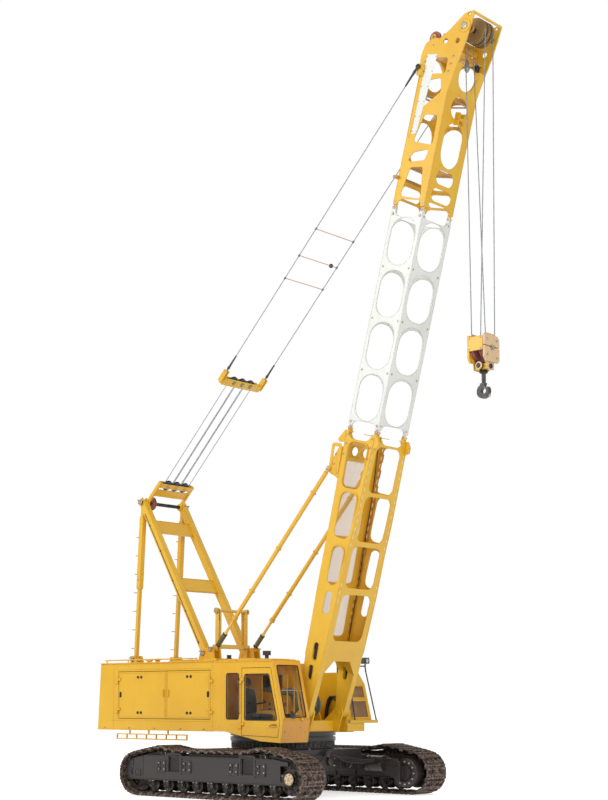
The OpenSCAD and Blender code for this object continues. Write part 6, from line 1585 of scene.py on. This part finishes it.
def makeRopeGear():
    near, far = rope["near"], (Vector((4.170, 0, 14.540)) - Vector((-3.740, 0, 6.440))).length
    # the three stages of the luffing tackle
    stages = {"luffLinesOuter": (rope["fixed"], rope["outer"], "luff_ropes", ["luff_ropes"]),
            "luffLinesMiddle": (rope["middle"][0], rope["middle"][1], "luff_ropes_middle", ["luff_ropes_middle"]),
            "luffLinesInner": (rope["inner"], near, "floating_block", [])}
    for k, (name, (start, end, body, hidden)) in enumerate(stages.items()):
        lines = [rod((start, y, 0), (end, y, 0), rope["strand"] - 0.0006 * k, 8) for y in rope["lines"]]
        finished(name, lines, luffWire, body, hidden, place=ropeTurn)
    sockets, pins, bars, clamps, lines = [], [], [], [], []
    for way in (-1, 1):
        y = way * rope["pendantHalf"]
        lines.append(rod((near + 0.22, y, 0), (far - 0.12, y, 0), rope["pendant"], 10))
        for s, dirn in ((near + 0.30, 1), (far - 0.12, -1)):
            sockets.append(turned([(0.012, 0.34), (0.017, 0.33), (0.024, 0.05), (0.030, 0.03), (0.030, -0.02),
                    (0.020, -0.03), (0, -0.03)], (dirn, 0, 0), (s, y, 0), 14))
        sockets.append(turned([(0.025, -0.018), (0.048, -0.018), (0.052, -0.012), (0.052, 0.012), (0.048, 0.018),
                (0.025, 0.018), (0.025, -0.018)], (0, 1, 0), (far, y, 0), 20))
        sockets.append(plate((far - 0.13, y - 0.016, -0.022), (far - 0.04, y + 0.016, 0.022), 0.004))
        pins += keeper((near + 0.20, y + way * 0.020, 0), (0, way, 0), 0.026, 0.008)
        for share in rope["bars"]:
            s = near + (far - near) * share
            clamps.append(turned([(0.011, 0), (0.020, 0), (0.022, 0.003), (0.022, 0.047), (0.020, 0.05), (0.011, 0.05)],
                    (1, 0, 0), (s - 0.025, y, 0), 12))
    for share in rope["bars"]:
        s = near + (far - near) * share
        bars.append(rod((s, -rope["pendantHalf"], 0), (s, rope["pendantHalf"], 0), 0.0095, 8))
    finished("pendantRopes", lines, pendantWire, "floating_block", ["pendants"], place=ropeTurn)
    finished("pendantSockets", sockets, blackCoat, "floating_block", place=ropeTurn)
    finished("pendantPins", pins, pinSteel, "floating_block", place=ropeTurn)
    finished("spreaderBars", bars, tanCoat, "floating_block", place=ropeTurn)
    finished("spreaderClamps", clamps, greenCoat, "floating_block", place=ropeTurn)
    s = near + (far - near) * rope["bars"][1]
    ball = turned([(0, -0.05), (0.025, -0.043), (0.043, -0.025), (0.05, 0), (0.043, 0.025), (0.025, 0.043), (0, 0.05)],
            (0, 1, 0), (s, 0.42, 0), 16)
    finished("barBall", [ball], castSteel, "floating_block", place=ropeTurn)
    # floating block: two deep plates, end horns that carry the pendants, and the sheaves' pins
    made, nuts = [], []
    for z in (-1, 1):
        made.append(plate((near - 0.105, -0.500, z * 0.048 - 0.008), (near + 0.075, 0.500, z * 0.048 + 0.008), 0.010,
                2))
    for way in (-1, 1):
        made.append(plate((near - 0.105, way * 0.545 - 0.055, -0.056), (near + 0.055, way * 0.545 + 0.055, 0.056),
                0.012, 2))
        for y in (0.580, 0.644):
            horn = plate((near - 0.06, way * y - 0.009, -0.060), (near + 0.240, way * y + 0.009, 0.060), 0.004)
            pick(horn, lambda c, n: n.x > 0.9)
            bpy.ops.transform.resize(value=(1, 1, 0.55))
            made.append(done())
        made.append(plate((near - 0.06, way * 0.612 - 0.032, -0.040), (near + 0.03, way * 0.612 + 0.032, 0.040), 0.005))
        nuts.append(rod((near + 0.20, way * 0.566, 0), (near + 0.20, way * 0.660, 0), 0.022, 14))
    finished("floatingBlockFrame", made, yellowBoom, "floating_block", ["floating_block"],
            place=ropeTurn)
    finished("hornPins", nuts, pinSteel, "floating_block", place=ropeTurn)
    for name, s, body in (("fixedBlockTrim", rope["fixed"], "luff_ropes"),
            ("floatingBlockTrim", near, "floating_block")):
        parts, nuts = [], []
        for y in (-0.26, 0, 0.26):
            parts.append(rod((s, y, -0.066), (s, y, 0.066), 0.022, 12))
            for z in (-1, 1):
                parts.append(turned([(0.022, 0), (0.046, 0), (0.050, 0.004), (0.050, 0.010), (0.034, 0.012),
                        (0.022, 0.012)], (0, 0, z), (s, y, z * 0.0558), 20))
                nuts += boltsAt(0.040, (0, 0, z), [(s, y, z * 0.065)])
        finished(name, parts, greenCoat if body == "floating_block" else yellowBoom, body,
                place=ropeTurn)
        finished(name + "Nuts", nuts, pinSteel, body, place=ropeTurn)
    print("rope gear")


hookGear = {"x": 5.230, "axle": 8.720}


def makeHookGear():
    x0, z0 = hookGear["x"], hookGear["axle"]
    bolts, pale, dark, made = [], [], [], []
    for way in (-1, 1):
        # split cast slabs: a raised rim and four bolts
        for y, z in ((-0.17, 0.15), (0.15, 0.15), (-0.17, -0.16), (0.15, -0.19)):
            bolts += boltsAt(0.036, (way, 0, 0), [(x0 + way * 0.204, y, z0 + z)])
        pale.append(plate((x0 + way * 0.200 - 0.004, -0.185, z0 + 0.040), (x0 + way * 0.200 + 0.004, 0.185, z0 + 0.052),
                0.003))
        pale.append(plate((x0 + way * 0.200 - 0.004, -0.185, z0 - 0.020), (x0 + way * 0.200 + 0.004, 0.185, z0 - 0.008),
                0.003))
        bolts += keeper((x0 + way * 0.214, 0, z0), (way, 0, 0), 0.048, 0.012)
        # cover across the ends, and its bolts
        made.append(plate((x0 - 0.165, way * 0.264 - 0.004 + way * 0.006, z0 + 0.190),
                (x0 + 0.165, way * 0.264 + 0.004 + way * 0.006, z0 + 0.210), 0.004))
        bolts += boltsAt(0.022, (0, way, 0), [(x0 + dx, way * 0.2765, z0 + z) for dx in (-0.13, 0.13)
                for z in (-0.04, 0.17)])
    # crosshead: dark trunnions with a pale ring, and the shank's nut
    for way in (-1, 1):
        dark.append(turned([(0, 0), (0.045, 0), (0.048, 0.006), (0.048, 0.022), (0.030, 0.026), (0, 0.026)],
                (way, 0, 0), (x0 + way * 0.160, 0, z0 - 0.355), 18))
        dark.append(turned([(0, 0), (0.062, 0), (0.070, 0.010), (0.070, 0.060), (0.050, 0.080), (0, 0.084)],
                (0, way, 0), (x0, way * 0.093, z0 - 0.345), 22))
    pale.append(turned([(0.052, 0), (0.072, 0), (0.078, 0.006), (0.078, 0.020), (0.052, 0.024)], (0, -1, 0),
            (x0, -0.150, z0 - 0.345), 22))
    dark.append(turned([(0.044, 0), (0.078, 0), (0.082, 0.006), (0.082, 0.050), (0.074, 0.058), (0.044, 0.058)],
            (0, 0, -1), (x0, 0, z0 - 0.415), 24))
    # throat latch and its spring pin
    latch = plate((-0.014, -0.022, 0), (0.014, 0.022, 0.205), 0.006, 2)
    settle(latch, moveTo(x0 + 0.045, 0, z0 - 0.765) @ turnBy(152, "Y"))
    finished("hookLatchPin", [rod((x0 + 0.040, -0.050, z0 - 0.752), (x0 + 0.040, 0.050, z0 - 0.752), 0.010)], pinSteel,
            "hook")
    finished("hookBlockBolts", bolts, pinSteel, "hook_block")
    finished("hookSlabRims", pale, paleCoat, "hook_block")
    finished("hookLatch", [latch], pinSteel, "hook")
    finished("hookCrosshead", dark, darkSteel, "hook_block")
    finished("hookCovers", made, yellowBoom, "hook_block")
    print("hook gear")


makeBoomMesh()
makeBaseTrim()
makeJoints()
makeInsertTrim()
makeHeadTrim()
makeStops()
makeRopeGear()
makeHookGear()
